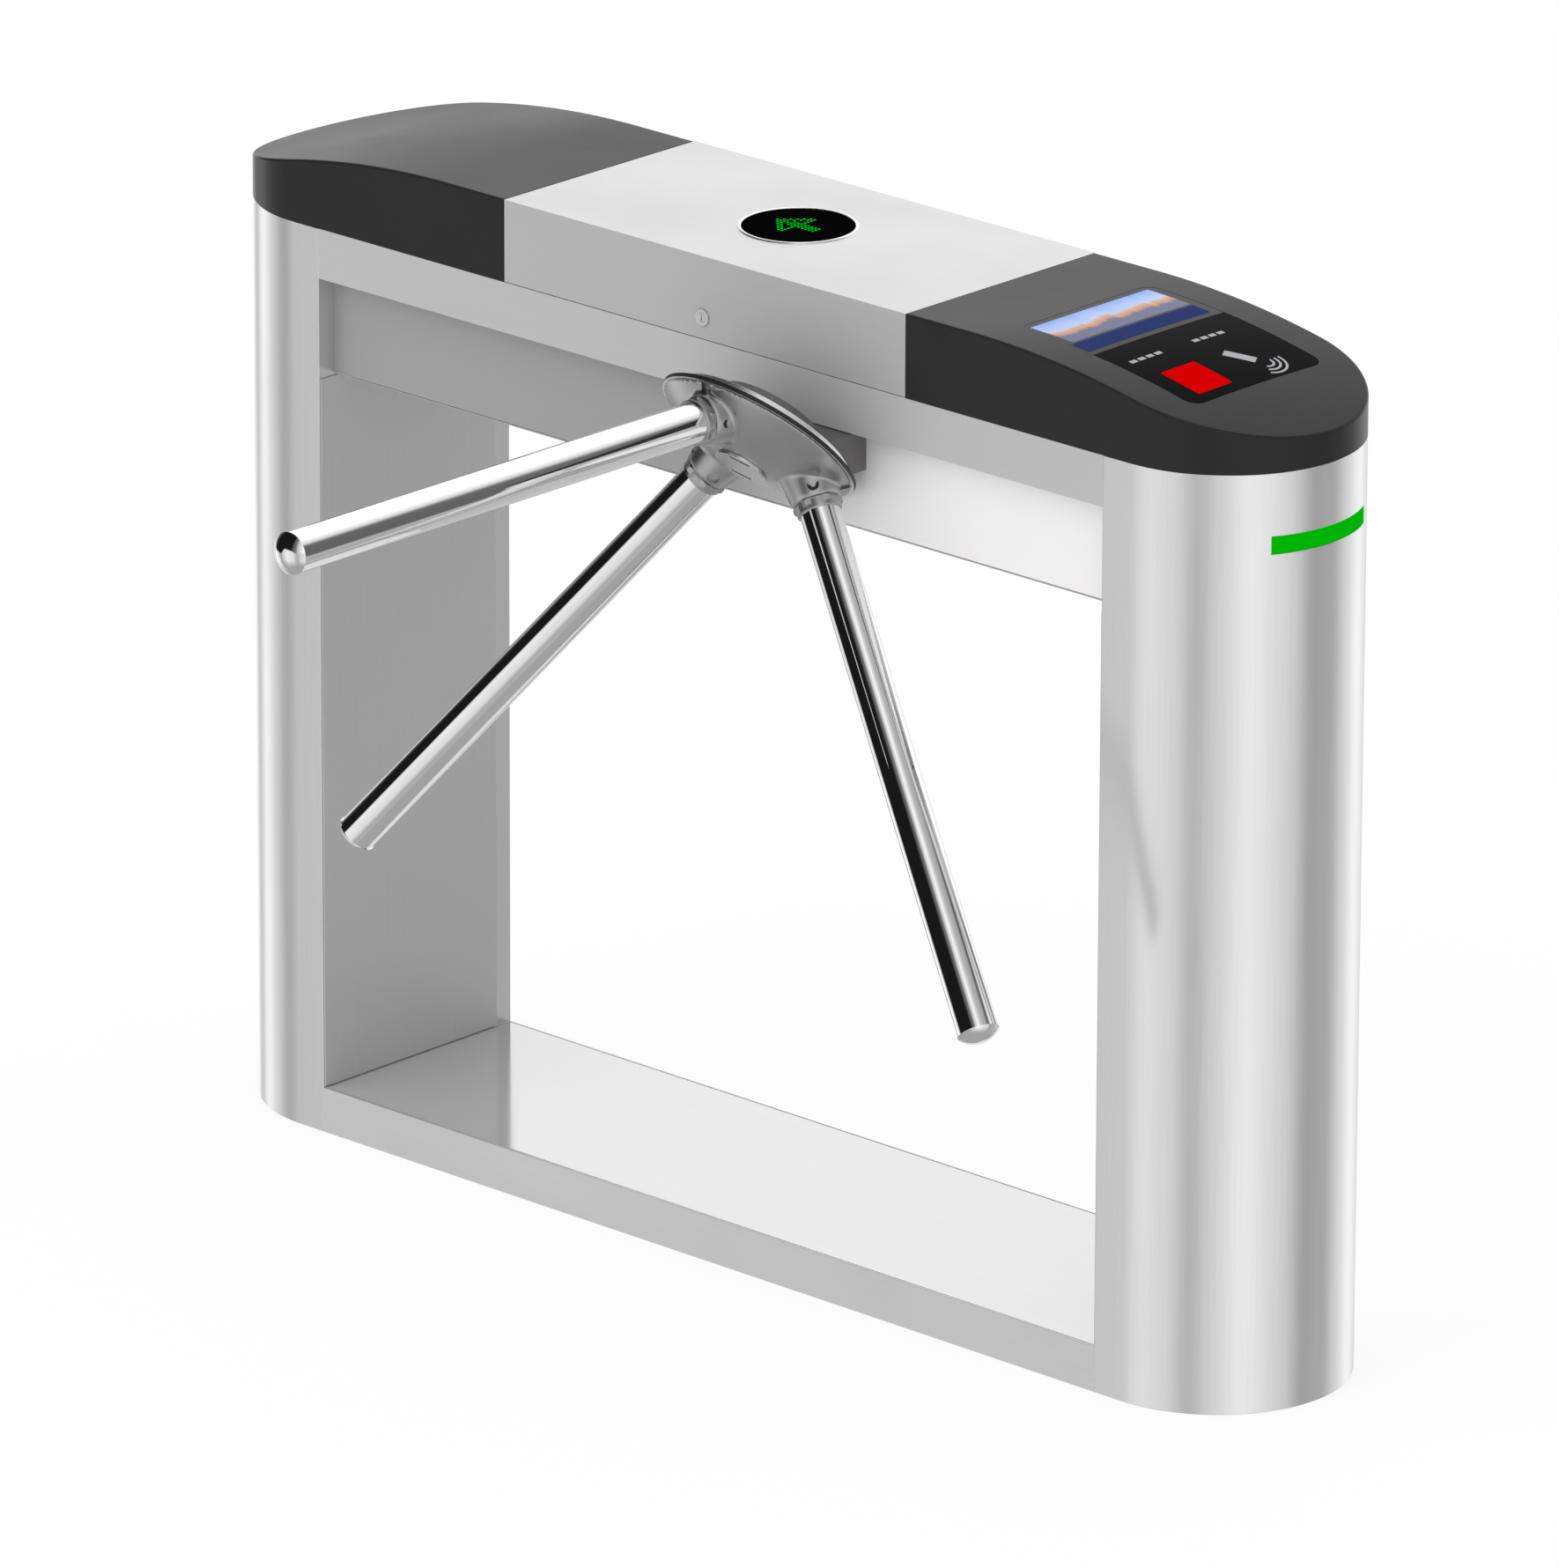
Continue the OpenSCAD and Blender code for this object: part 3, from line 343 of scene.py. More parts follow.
def cast(name, colour, roughness, metal, grit=420.0, depth=0.00012, change=0.08):
    """A casting with a fine even grit."""
    finish, nodes, links, surface = blank_finish(name, Metallic=metal)
    fine = grain(nodes, links, (grit, grit, grit), 4.0)
    broad = grain(nodes, links, (18.0, 18.0, 18.0), 3.0)
    tint(nodes, links, broad, *shades(colour, change), surface.inputs["Base Color"])
    span(nodes, links, fine, roughness * 0.85, roughness * 1.15, surface.inputs["Roughness"])
    if depth:
        relief(nodes, links, fine, depth, 0.3, surface.inputs["Normal"])
    return finish


def moulded(name, colour, roughness, sheen=0.5, depth=0.00005):
    """Moulded plastic with a very fine texture and a little unevenness in its gloss."""
    finish, nodes, links, surface = blank_finish(name)
    surface.inputs["Specular IOR Level"].default_value = sheen
    fine = grain(nodes, links, (700.0, 700.0, 700.0), 3.0)
    broad = grain(nodes, links, (9.0, 9.0, 9.0), 2.0)
    tint(nodes, links, broad, *shades(colour, 0.06), surface.inputs["Base Color"])
    span(nodes, links, broad, roughness * 0.9, roughness * 1.12, surface.inputs["Roughness"])
    relief(nodes, links, fine, depth, 0.2, surface.inputs["Normal"])
    return finish


def lit(name, colour, strength):
    """A lamp, a lit diffuser, or print given a painted glow: its plastic is a little uneven, its
    light is plain.
    """
    finish, nodes, links, surface = blank_finish(name, Roughness=0.5)
    surface.inputs["Specular IOR Level"].default_value = 0.0
    broad = grain(nodes, links, (40.0, 40.0, 40.0), 2.0)
    dim = tuple(c * 0.05 for c in colour)
    tint(nodes, links, broad, *shades(dim, 0.2), surface.inputs["Base Color"])
    surface.inputs["Emission Color"].default_value = (*colour, 1)
    surface.inputs["Emission Strength"].default_value = strength
    return finish


def shaded_sheet(name, colours, places, roughness):
    """Satin sheet with painted shade and sheen, dark to pale along the passage."""
    finish, nodes, links, surface = blank_finish(name, Metallic=0.15, Roughness=roughness)
    place = nodes.new("ShaderNodeTexCoord")
    parts = nodes.new("ShaderNodeSeparateXYZ")
    links.new(place.outputs["Object"], parts.inputs["Vector"])
    along = nodes.new("ShaderNodeMapRange")
    along.inputs["From Min"].default_value = places[0]
    along.inputs["From Max"].default_value = places[1]
    links.new(parts.outputs["X"], along.inputs["Value"])
    tint(nodes, links, along.outputs["Result"], *colours, surface.inputs["Base Color"], (0, 1))
    lines = grain(nodes, links, (7.0, 900.0, 900.0), 5.0)
    span(nodes, links, lines, roughness * 0.9, roughness * 1.1, surface.inputs["Roughness"])
    return finish


STEEL = (0.80, 0.80, 0.80)
column_steel = brushed("brushed_steel_columns", STEEL, 0.24, "z")
sill_steel = brushed("brushed_steel_sill", STEEL, 0.46, "x", metal=0.85)
rail_steel = brushed("brushed_steel_rails", (0.52, 0.52, 0.52), 0.46, "x", metal=0.15)
sill_top_steel = brushed("polished_steel_sill_top", (0.76, 0.76, 0.76), 0.11, "x", metal=0.65)
# A darker, duller copy of the cover's steel for its long sides: painted shade.
cover_sides_painted_shade = brushed("brushed_steel_cover_sides_painted_shade", (0.47, 0.47, 0.47), 0.46, "x", metal=0.15)
cover_steel = brushed("brushed_steel_cover", (0.78, 0.78, 0.78), 0.46, "x", metal=0.95)
# The near housing panel: painted shade at its left end, a painted sheen at its right.
housing_steel = shaded_sheet("shaded_steel_housing", ((0.36, 0.36, 0.36), (0.97, 0.955, 0.96)),
                             (20 * MM, 200 * MM), 0.5)
panel_steel = brushed("satin_steel_panels", (0.66, 0.66, 0.665), 0.38, "x")
inner_steel = brushed("satin_steel_inner_walls", (0.54, 0.54, 0.54), 0.36, "z", metal=0.45)
zinc = cast("galvanised_sheet", (0.55, 0.56, 0.57), 0.45, 0.9, 60.0, 0.00002, 0.16)
black_cap = moulded("black_moulded_caps", (0.024, 0.0225, 0.023), 0.25, 0.11)
dark_trim = moulded("dark_moulded_trim", (0.035, 0.035, 0.036), 0.42)
smoked = moulded("smoked_window", (0.002, 0.002, 0.0025), 0.12, 0.01, 0.00001)
chrome = plated("chromed_tube", (0.88, 0.88, 0.89), 0.03)
bright_steel = plated("polished_steel", (0.72, 0.72, 0.73), 0.12)
pale_rim = plated("pale_rim", (0.97, 0.97, 0.97), 0.25)
hub_alloy = cast("satin_alloy_casting", (0.46, 0.46, 0.46), 0.34, 1.0, 300.0, 0, 0.04)
cap_alloy = cast("satin_alloy_cap", (0.72, 0.72, 0.72), 0.30, 1.0, 300.0, 0, 0.04)
dark_casting = cast("dark_cast_iron", (0.16, 0.155, 0.157), 0.5, 0.3)
dark_plate = cast("blackened_plate", (0.010, 0.010, 0.010), 0.5, 0.0)
plate_steel = cast("satin_plate", (0.90, 0.90, 0.90), 0.4, 1.0, 300.0, 0, 0.04)
board_green = cast("circuit_board", (0.02, 0.12, 0.05), 0.5, 0.0, 90.0, 0.0001, 0.35)
black_parts = moulded("black_small_parts", (0.02, 0.02, 0.02), 0.45)
green_light = lit("green_diffuser", (0.0, 0.43, 0.002), 1.0)
dark_lens = moulded("black_lens", (0.002, 0.002, 0.002), 0.15, 0.0, 0.00001)
roller_rubber = moulded("roller_rubber", (0.03, 0.03, 0.03), 0.7, 0.3, 0.0003)

SLOT_FINISHES = {
    "cabinet_steel": column_steel, "cover_steel": cover_steel, "panel_steel": panel_steel,
    "galvanised_steel": zinc, "cap_plastic": black_cap, "window_plastic": smoked,
    "dark_moulding": dark_trim, "arm_chrome": chrome, "hub_alloy": hub_alloy,
    "dark_casting": dark_casting, "bright_steel": bright_steel, "circuit_board": board_green,
    "black_parts": black_parts, "lamp_green": green_light, "lamp_black": dark_lens,
    "roller_rubber": roller_rubber,
}
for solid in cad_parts.values():
    for place in solid.material_slots:
        key = place.material.name.split(".")[0] if place.material else "black_parts"
        place.material = SLOT_FINISHES.get(key, black_parts)

bpy.ops.object.select_all(action="DESELECT")

# Columns, sill, beam and cover, all sheet steel with broken edges
for side in ("left", "right"):
    dress(side + "_column", "cabinet", column_steel, "cabinet_steel")
dress("sill_trough", "cabinet", sill_steel, "cabinet_steel", 0.4 * MM)
dress("sill_cover", "cabinet", sill_top_steel, "cabinet_steel")
dress("near_rail", "cabinet", rail_steel, "cabinet_steel", 0.3 * MM)
dress("far_rail", "cabinet", rail_steel, "cabinet_steel", 0.3 * MM)
dress("near_housing_panel", "cabinet", housing_steel, "panel_steel")
dress("far_housing_panel", "cabinet", panel_steel, "panel_steel")
dress("housing_floor", "cabinet", panel_steel, "panel_steel")
dress("service_panels", "cabinet", inner_steel, "panel_steel", 0.5 * MM)
centre_cover = dress("centre_cover", "cover", cover_steel, "cover_steel", 0.9 * MM)
# The cover's long sides take that darker copy: painted shade that keeps them darker than the top.
paint_faces(centre_cover, cover_sides_painted_shade, lambda at, normal: abs(normal.y) > 0.7)


# End caps
CAP_AROUND = 192
CAP_STEPS = 34
CAP_FOOT_SHARE = 0.04
CAP_EDGE_STEPS = 6
CAP_TOP_SHARES = (0.05, 0.1, 0.16, 0.23, 0.31, 0.4, 0.5, 0.61, 0.73, 0.86, 1)


def make_cap():
    """Half a slot in plan, with a soft upper edge and a level top that is let down at the end."""
    bpy.ops.object.select_all(action="DESELECT")
    bpy.ops.mesh.primitive_circle_add(vertices=CAP_AROUND, radius=NOSE_R, fill_type="NOTHING",
                                      location=(NOSE_X, 0, SEAM_Z))
    piece = settle(bpy.context.object)
    edit(piece)
    pick(piece, lambda at: at.x < NOSE_X - TOUCH)
    bpy.ops.mesh.delete(type="VERT")
    inner_x = COVER_L / 2 + JOINT_GAP / 4
    pick(piece, lambda at: at.x < NOSE_X + TOUCH)
    for k in range(CAP_STEPS):
        pull(((inner_x - NOSE_X) / CAP_STEPS, 0, 0))
    leave()
    row = len(piece.data.vertices)

    def newest(from_x=0):
        """Select the row that was pulled last, or its part past a place."""
        leave()
        mesh = piece.data
        for part in (*mesh.vertices, *mesh.edges, *mesh.polygons):
            part.select = False
        for corner in mesh.vertices[len(mesh.vertices) - row:]:
            corner.select = corner.co.x > from_x
        bpy.ops.object.mode_set(mode="EDIT")
        bpy.ops.mesh.select_mode(type="VERT")

    def narrow(share):
        """Bring the newest row in: all of it across, and its round end also lengthwise."""
        middle = (NOSE_X, 0, 0)
        bpy.ops.transform.resize(value=(1, share, 1), center_override=middle)
        newest(NOSE_X + TOUCH)
        bpy.ops.transform.resize(value=(share, 1, 1), center_override=middle)

    rise = CABINET_H - SEAM_Z - CAP_EDGE_R
    inset, height = 0.0, 0.0
    turns = [math.radians(90 * step / CAP_EDGE_STEPS) for step in range(1, CAP_EDGE_STEPS + 1)]
    for goal_inset, goal_height in (
            [(0, rise * CAP_FOOT_SHARE), (0, rise)]
            + [(CAP_EDGE_R * (1 - math.cos(a)), rise + CAP_EDGE_R * math.sin(a)) for a in turns]
            + [(NOSE_R * share, rise + CAP_EDGE_R) for share in CAP_TOP_SHARES]):
        newest()
        pull((0, 0, goal_height - height))
        narrow((NOSE_R - goal_inset) / (NOSE_R - inset))
        inset, height = goal_inset, goal_height
    bpy.ops.mesh.select_all(action="SELECT")
    bpy.ops.mesh.remove_doubles(threshold=TOUCH)
    # Close the inner end and the foot, turn all faces outwards, and open the foot again
    pick(piece, lambda at: at.x < inner_x + TOUCH and at.z < SEAM_Z + TOUCH)
    bpy.ops.mesh.edge_face_add()
    pick(piece, lambda a, b: max(a.x, b.x) < inner_x + TOUCH, "EDGE")
    bpy.ops.mesh.edge_face_add()
    pick(piece, lambda a, b: max(a.z, b.z) < SEAM_Z + TOUCH, "EDGE")
    bpy.ops.mesh.edge_face_add()
    tidy_faces()
    pick(piece, lambda at, normal: at.z < SEAM_Z + TOUCH, "FACE")
    bpy.ops.mesh.delete(type="ONLY_FACE")
    leave()
    lay_on_cap(piece)
    return piece


cap = make_cap()
other_cap = twin(cap)
work(cap, "SOLIDIFY", thickness=CAP_WALL, offset=-1)
window_hole = block((READER_X[0] - READER_GAP, -READER_W / 2 - READER_GAP, SEAM_Z - OVERRUN),
                    (READER_X[1] + READER_GAP, READER_W / 2 + READER_GAP, CABINET_H + OVERRUN))
edit(window_hole)
pick(window_hole, lambda a, b: abs(a.z - b.z) > CABINET_H - SEAM_Z, "EDGE")
bpy.ops.mesh.bevel(offset=READER_CORNER + READER_GAP, segments=10)
leave()
cut(cap, window_hole)
fit(shade(cap, 35), "right_cap", "cabinet", black_cap, "cap_plastic", "right_end_cap")

edit(other_cap)
bpy.ops.transform.resize(value=(-1, 1, 1), center_override=(0, 0, 0))
bpy.ops.mesh.flip_normals()
leave()
work(other_cap, "SOLIDIFY", thickness=CAP_WALL, offset=-1)
fit(shade(other_cap, 35), "left_cap", "cabinet", black_cap, "cap_plastic", "left_end_cap")


# Reader window, with what shows through it
def plate_on_cap(low, high, corner, top, thick, pitch=10 * MM):
    """A plate with round corners that follows the falling top of the cap."""
    middle = ((low[0] + high[0]) / 2, (low[1] + high[1]) / 2, top)
    bpy.ops.object.select_all(action="DESELECT")
    bpy.ops.mesh.primitive_plane_add(size=1, location=middle)
    piece = bpy.context.object
    piece.scale = (high[0] - low[0], high[1] - low[1], 1)
    settle(piece)
    edit(piece)
    if corner:
        bpy.ops.mesh.bevel(affect="VERTICES", offset=corner, segments=6)
    for axis, normal in ((0, (1, 0, 0)), (1, (0, 1, 0))):
        count = int((high[axis] - low[axis]) / pitch)
        for k in range(1, count):
            spot = [0, 0, top]
            spot[axis] = low[axis] + (high[axis] - low[axis]) * k / count
            bpy.ops.mesh.select_all(action="SELECT")
            bpy.ops.mesh.bisect(plane_co=spot, plane_no=normal)
    if thick:
        bpy.ops.mesh.select_all(action="SELECT")
        pull((0, 0, -thick))
        tidy_faces()
    leave()
    return lay_on_cap(piece)


WINDOW_DROP = 0.15 * MM
GLASS_TOP = CABINET_H - WINDOW_DROP
FIELD_FROM = 440 * MM
reader = plate_on_cap((READER_X[0], -READER_W / 2), (READER_X[1], READER_W / 2),
                      READER_CORNER, GLASS_TOP, READER_T)
fit(shade(soften(reader, 0.25 * MM, 1, 60), 35), "reader_glass", "cabinet", smoked,
    "window_plastic", "reader_window")
paint_faces(reader, black_cap, lambda at, normal: at.x < FIELD_FROM)

SCREEN_X = (361 * MM, 413 * MM)
SCREEN_Y = (-80 * MM, 78 * MM)
STRIP_X = (416 * MM, 438 * MM)
STRIP_Y = (-86 * MM, 78 * MM)
SCANNER_X = (507 * MM, 554 * MM)
SCANNER_Y = (-67 * MM, -22 * MM)
MARK_T = 0.05 * MM
MARK_TOP = GLASS_TOP + MARK_T
DASH_X = (474 * MM, 479 * MM)
DASH_L_MM = 8
DASH_PITCH_MM = 11
CARD_MIDDLE = (541 * MM, 36 * MM, 0)
CARD_TURN = Matrix.Rotation(math.radians(32), 4, "Z")
CARD_X = (-38 * MM, -8 * MM)
CARD_W = 11 * MM
ARC_RADII = (7 * MM, 13 * MM, 19 * MM)
ARC_W = 2.4 * MM
ARC_REACH = 30 * MM
ARC_FROM_SHARE = 0.45


def screen_finish():
    """A made-up view on the display: a pale blue sky, warm rounded hills and dark water."""
    finish, nodes, links, surface = blank_finish("display_picture", Roughness=0.2)
    place = nodes.new("ShaderNodeTexCoord")
    parts = nodes.new("ShaderNodeSeparateXYZ")
    links.new(place.outputs["Object"], parts.inputs["Vector"])
    wave = grain(nodes, links, (0.0, 42.0, 0.0), 3.0)
    height = nodes.new("ShaderNodeMapRange")
    height.inputs["From Min"].default_value = SCREEN_X[0]
    height.inputs["From Max"].default_value = SCREEN_X[1]
    links.new(parts.outputs["X"], height.inputs["Value"])
    lift = nodes.new("ShaderNodeMath")
    lift.operation = "MULTIPLY_ADD"
    lift.inputs[1].default_value = 0.55
    links.new(wave, lift.inputs[0])
    links.new(height.outputs["Result"], lift.inputs[2])
    view = tint(nodes, links, lift.outputs["Value"], (0.13, 0.28, 0.75), (0.03, 0.04, 0.16),
                surface.inputs["Emission Color"], (0.25, 1.25))
    view.color_ramp.elements[1].position = 1.0
    for position, colour in ((0.55, (0.30, 0.47, 0.90)), (0.72, (0.42, 0.52, 0.86)),
                             (0.78, (0.62, 0.33, 0.14)), (0.9, (0.50, 0.20, 0.11))):
        stop = view.color_ramp.elements.new(position)
        stop.color = (*colour, 1)
    surface.inputs["Base Color"].default_value = (0.01, 0.01, 0.015, 1)
    surface.inputs["Emission Strength"].default_value = 0.85
    return finish


display_picture = screen_finish()
display_blue = lit("display_blue", (0.030, 0.045, 0.150), 1.0)
scan_red = lit("scanner_red", (0.66, 0.0, 0.001), 1.0)
# The print lights itself: a painted glow, though it is no lamp.
print_painted_glow = lit("printed_grey_painted_glow", (0.42, 0.43, 0.45), 1.0)


for name, along, across, corner, finish, slot in (
        ("display_view", SCREEN_X, SCREEN_Y, 1 * MM, display_picture, "window_plastic"),
        ("display_strip", STRIP_X, STRIP_Y, 1 * MM, display_blue, "window_plastic"),
        ("scanner_field", SCANNER_X, SCANNER_Y, 2 * MM, scan_red, "lamp_black")):
    mark = plate_on_cap((along[0], across[0]), (along[1], across[1]), corner, MARK_TOP, MARK_T)
    fit(shade(mark, 35), name, "cabinet", finish, slot)
# The dashes are print with a painted glow.
for name, from_y in (("scanner_label", -73 * MM), ("card_label", 11 * MM)):
    dashes = []
    for start_mm in (step * DASH_PITCH_MM for step in range(4)):
        dashes.append(plate_on_cap((DASH_X[0], from_y + start_mm * MM),
                                   (DASH_X[1], from_y + (start_mm + DASH_L_MM) * MM),
                                   0, MARK_TOP, MARK_T, 4 * MM))
    fit(shade(join(dashes), 35), name, "cabinet", print_painted_glow, "window_plastic")


def card_sign():
    """A plain card with three arcs before it, as on many readers."""
    card = block((CARD_X[0], -CARD_W / 2, GLASS_TOP), (CARD_X[1], CARD_W / 2, MARK_TOP))
    edit(card)
    bpy.ops.mesh.subdivide(number_cuts=9)
    leave()
    parts = [settle(card, CARD_TURN)]
    for radius in ARC_RADII:
        arc = turned([(radius, GLASS_TOP), (radius + ARC_W, GLASS_TOP),
                      (radius + ARC_W, MARK_TOP), (radius, MARK_TOP)], 48, closed=True)
        wedge = block((radius * ARC_FROM_SHARE, -ARC_REACH, MARK_TOP - OVERRUN),
                      (ARC_REACH, ARC_REACH, MARK_TOP + OVERRUN))
        parts.append(settle(cut(arc, wedge, "INTERSECT"), CARD_TURN))
    return lay_on_cap(settle(join(parts), Matrix.Translation(CARD_MIDDLE)))


# The card sign is print with a painted glow.
fit(shade(card_sign(), 35), "card_sign", "cabinet", print_painted_glow, "window_plastic")


# Rotor: index plate, domed hub with three arm bosses, arms, nuts and end plugs
def on_hub(piece):
    return settle(piece, AT_HUB)


def on_arm(piece, k):
    return settle(piece, AT_HUB @ Matrix.Rotation(math.radians(120 * k), 4, "Z") @ ARM_LEAN)


HUB_BACK = 48.5 * MM
HUB_FRONT = 79 * MM
HUB_BASE_R = 99 * MM
HUB_FRONT_R = 26 * MM
DOME_MIDDLE = (HUB_BASE_R ** 2 + HUB_BACK ** 2 - HUB_FRONT_R ** 2 - HUB_FRONT ** 2) \
    / (2 * (HUB_BACK - HUB_FRONT))
DOME_R = math.hypot(HUB_BASE_R, HUB_BACK - DOME_MIDDLE)
DOME_STEPS = 14
BOSS_FROM = 60 * MM
BOSS_ROOT_R = 32 * MM
BOSS_END_R = 23 * MM
BOSS_END = 111 * MM
BEARING_LAND_R = 18 * MM
BORE_PAST = 9 * MM
BOLT_AT = 101 * MM
BOLT_FLAT = 20.5 * MM
BOLT_SEAT_R = 5.9 * MM
CASTING_GRAIN = 1.5 * MM
CASTING_PASSES = 9
ARMS = range(3)


def make_hub():
    """A domed casting with three arm bosses, blended where they meet, then bored and spot-faced."""
    rim = math.atan2(HUB_BASE_R, HUB_BACK - DOME_MIDDLE)
    nose = math.atan2(HUB_FRONT_R, HUB_FRONT - DOME_MIDDLE)
    sweep = [rim + (nose - rim) * k / DOME_STEPS for k in range(DOME_STEPS + 1)]
    arc = [(DOME_R * math.sin(a), DOME_MIDDLE + DOME_R * math.cos(a)) for a in sweep]
    dome = on_hub(turned([(0, HUB_BACK)] + arc + [(0, HUB_FRONT)], 128))
    for k in ARMS:
        boss = on_arm(turned([(0, BOSS_FROM), (BOSS_ROOT_R, BOSS_FROM),
                              (BOSS_END_R + 0.4 * MM, BOSS_END - 3 * MM),
                              (BOSS_END_R - 0.6 * MM, BOSS_END - 0.8 * MM),
                              (BOSS_END_R - 2 * MM, BOSS_END), (0, BOSS_END)]), k)
        cut(boss, on_hub(disc(2 * HUB_BASE_R, 0, HUB_BACK, 48)))
        cut(dome, boss, "UNION")
    work(dome, "REMESH", mode="VOXEL", voxel_size=CASTING_GRAIN)
    work(dome, "SMOOTH", factor=0.5, iterations=CASTING_PASSES)
    cut(dome, on_hub(disc(BEARING_LAND_R, HUB_BACK - BORE_PAST, HUB_FRONT + BORE_PAST, 64)))
    for k in ARMS:
        for side in (-90, 90):
            seat = disc(BOLT_SEAT_R, BOLT_FLAT, 2 * BOLT_FLAT, 32)
            turn = Matrix.Rotation(math.radians(side), 4, "X")
            settle(seat, Matrix.Translation((0, 0, BOLT_AT)) @ turn)
            cut(dome, on_arm(seat, k))
    return shade(dome, 35, even=False)


casting = fit(make_hub(), "hub_casting", "rotor", hub_alloy, "hub_alloy", "hub_body")
plate = dress("index_plate", "rotor", plate_steel, "dark_casting", 0.6 * MM)
hub_frame = AT_HUB.inverted()
paint_faces(plate, dark_plate, lambda at, normal: math.hypot(*(hub_frame @ at).xy) > HUB_BASE_R)
spanner_cap = dress("hub_cap", "rotor", cap_alloy, "bright_steel", 0.4 * MM)
SLOT_FLOOR = -0.5 * MM
SLOT_RIM = 2.4 * MM
SLOT_REACH = 24 * MM
# The floors of the spanner slots are painted black: painted shade in the slots.
for piece in (spanner_cap, casting):
    paint_faces(piece, black_parts,
                lambda at, normal: SLOT_FLOOR < (hub_frame @ at).z - HUB_FRONT < SLOT_RIM
                and math.hypot(*(hub_frame @ at).xy) < SLOT_REACH)
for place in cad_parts["arm_bolts"].material_slots:
    place.material = dark_plate

ARM_R = 19 * MM
ARM_IN_R = 17.5 * MM
ARM_FROM = 93 * MM
ARM_TIP = 647 * MM
TUBE_END = 638 * MM
PLUG_R = 19.8 * MM
PLUG_FROM = 618 * MM
PLUG_FIT = 0.1 * MM
PLUG_STEPS = 12
PLUG_DOME = ARM_TIP - TUBE_END
tube = turned([(ARM_R, ARM_FROM), (ARM_R, TUBE_END), (ARM_IN_R, TUBE_END), (ARM_IN_R, ARM_FROM)],
              96, closed=True)
ball_r = (PLUG_R ** 2 + PLUG_DOME ** 2) / (2 * PLUG_DOME)
ball_turns = [math.asin(PLUG_R / ball_r) * (1 - k / PLUG_STEPS) for k in range(PLUG_STEPS + 1)]
plug = turned([(0, PLUG_FROM), (ARM_IN_R - PLUG_FIT, PLUG_FROM), (ARM_IN_R - PLUG_FIT, TUBE_END),
               (PLUG_R - 0.3 * MM, TUBE_END)]
              + [(ball_r * math.sin(a), ARM_TIP - ball_r + ball_r * math.cos(a))
                 for a in ball_turns], 96)
NUT_R = 23.2 * MM
NUT_RING_R = 21 * MM
NUT_TOP = BOSS_END + 6 * MM
RING_TOP = BOSS_END + 10 * MM
bpy.ops.object.select_all(action="DESELECT")
bpy.ops.mesh.primitive_cylinder_add(vertices=6, radius=NUT_R, depth=NUT_TOP - BOSS_END,
                                    location=(0, 0, (BOSS_END + NUT_TOP) / 2))
nut = settle(bpy.context.object)
crown = turned([(0, BOSS_END - 2 * MM), (NUT_RING_R - 1 * MM, BOSS_END - 2 * MM),
                (NUT_R, BOSS_END + 1.2 * MM), (NUT_R, NUT_TOP - 1.2 * MM),
                (NUT_RING_R, NUT_TOP + 1.2 * MM), (0, NUT_TOP + 1.2 * MM)], 72)
cut(nut, crown, "INTERSECT")
ring_part = turned([(0, BOSS_END + 1 * MM), (NUT_RING_R, BOSS_END + 1 * MM),
                    (NUT_RING_R, RING_TOP - 0.8 * MM), (NUT_RING_R - 0.8 * MM, RING_TOP),
                    (0, RING_TOP)], 72)
cut(nut, ring_part, "UNION")
cut(nut, disc(ARM_R + 0.05 * MM, ARM_FROM, 2 * ARM_FROM, 96))
for k in ARMS:
    last = k == ARMS[-1]
    one_tube, one_plug, one_nut = (tube, plug, nut) if last else (twin(tube), twin(plug), twin(nut))
    fit(shade(on_arm(one_tube, k)), "arm_tube_%d" % (k + 1), "rotor", chrome, "arm_chrome",
        "arm_%d" % (k + 1))
    fit(shade(on_arm(one_plug, k)), "arm_plug_%d" % (k + 1), "rotor", chrome, "arm_chrome",
        "arm_end_plugs")
    fit(shade(soften(on_arm(one_nut, k), 0.3 * MM, 1, 50)), "arm_nut_%d" % (k + 1), "rotor",
        hub_alloy, "bright_steel", "arm_nuts")

dress("neck_bracket", "cabinet", dark_casting, "dark_casting", 1.0 * MM)

# Indicator: a bright rim, a black lens and a lit arrow of small lamps
RIM_TOP = CABINET_H + 1.2 * MM
RIM_W = 3 * MM
LENS_TOP = CABINET_H + 0.7 * MM
LENS_R = INDICATOR_R - 3.05 * MM
LENS_FACE_R = INDICATOR_R - 3.4 * MM
LENS_FOOT_R = 51 * MM
LENS_FOOT = CABINET_H - 8 * MM
LENS_EDGE = 0.3 * MM
rim = turned([(INDICATOR_R, CABINET_H), (INDICATOR_R, RIM_TOP - 0.5 * MM),
              (INDICATOR_R - 0.5 * MM, RIM_TOP), (INDICATOR_R - 2.2 * MM, RIM_TOP),
              (INDICATOR_R - RIM_W, RIM_TOP - 0.5 * MM), (INDICATOR_R - RIM_W, CABINET_H)],
             128, closed=True)
fit(shade(rim), "indicator_rim", "cover", pale_rim, "bright_steel", "indicator_lens")
lens = turned([(0, LENS_FOOT), (LENS_FOOT_R, LENS_FOOT), (LENS_FOOT_R, CABINET_H),
               (LENS_R, CABINET_H), (LENS_R, LENS_TOP - LENS_EDGE),
               (LENS_FACE_R, LENS_TOP), (0, LENS_TOP)], 128)
fit(shade(lens), "indicator_glass", "cover", dark_lens, "lamp_black", "indicator_lens")


DOT_R = 1.45 * MM
DOT_TOP = LENS_TOP + 0.12 * MM
DOT_PITCH = 4.4 * MM
SHAFT_END = 6
HEAD_TIP = -6
HEAD_HALF = 5


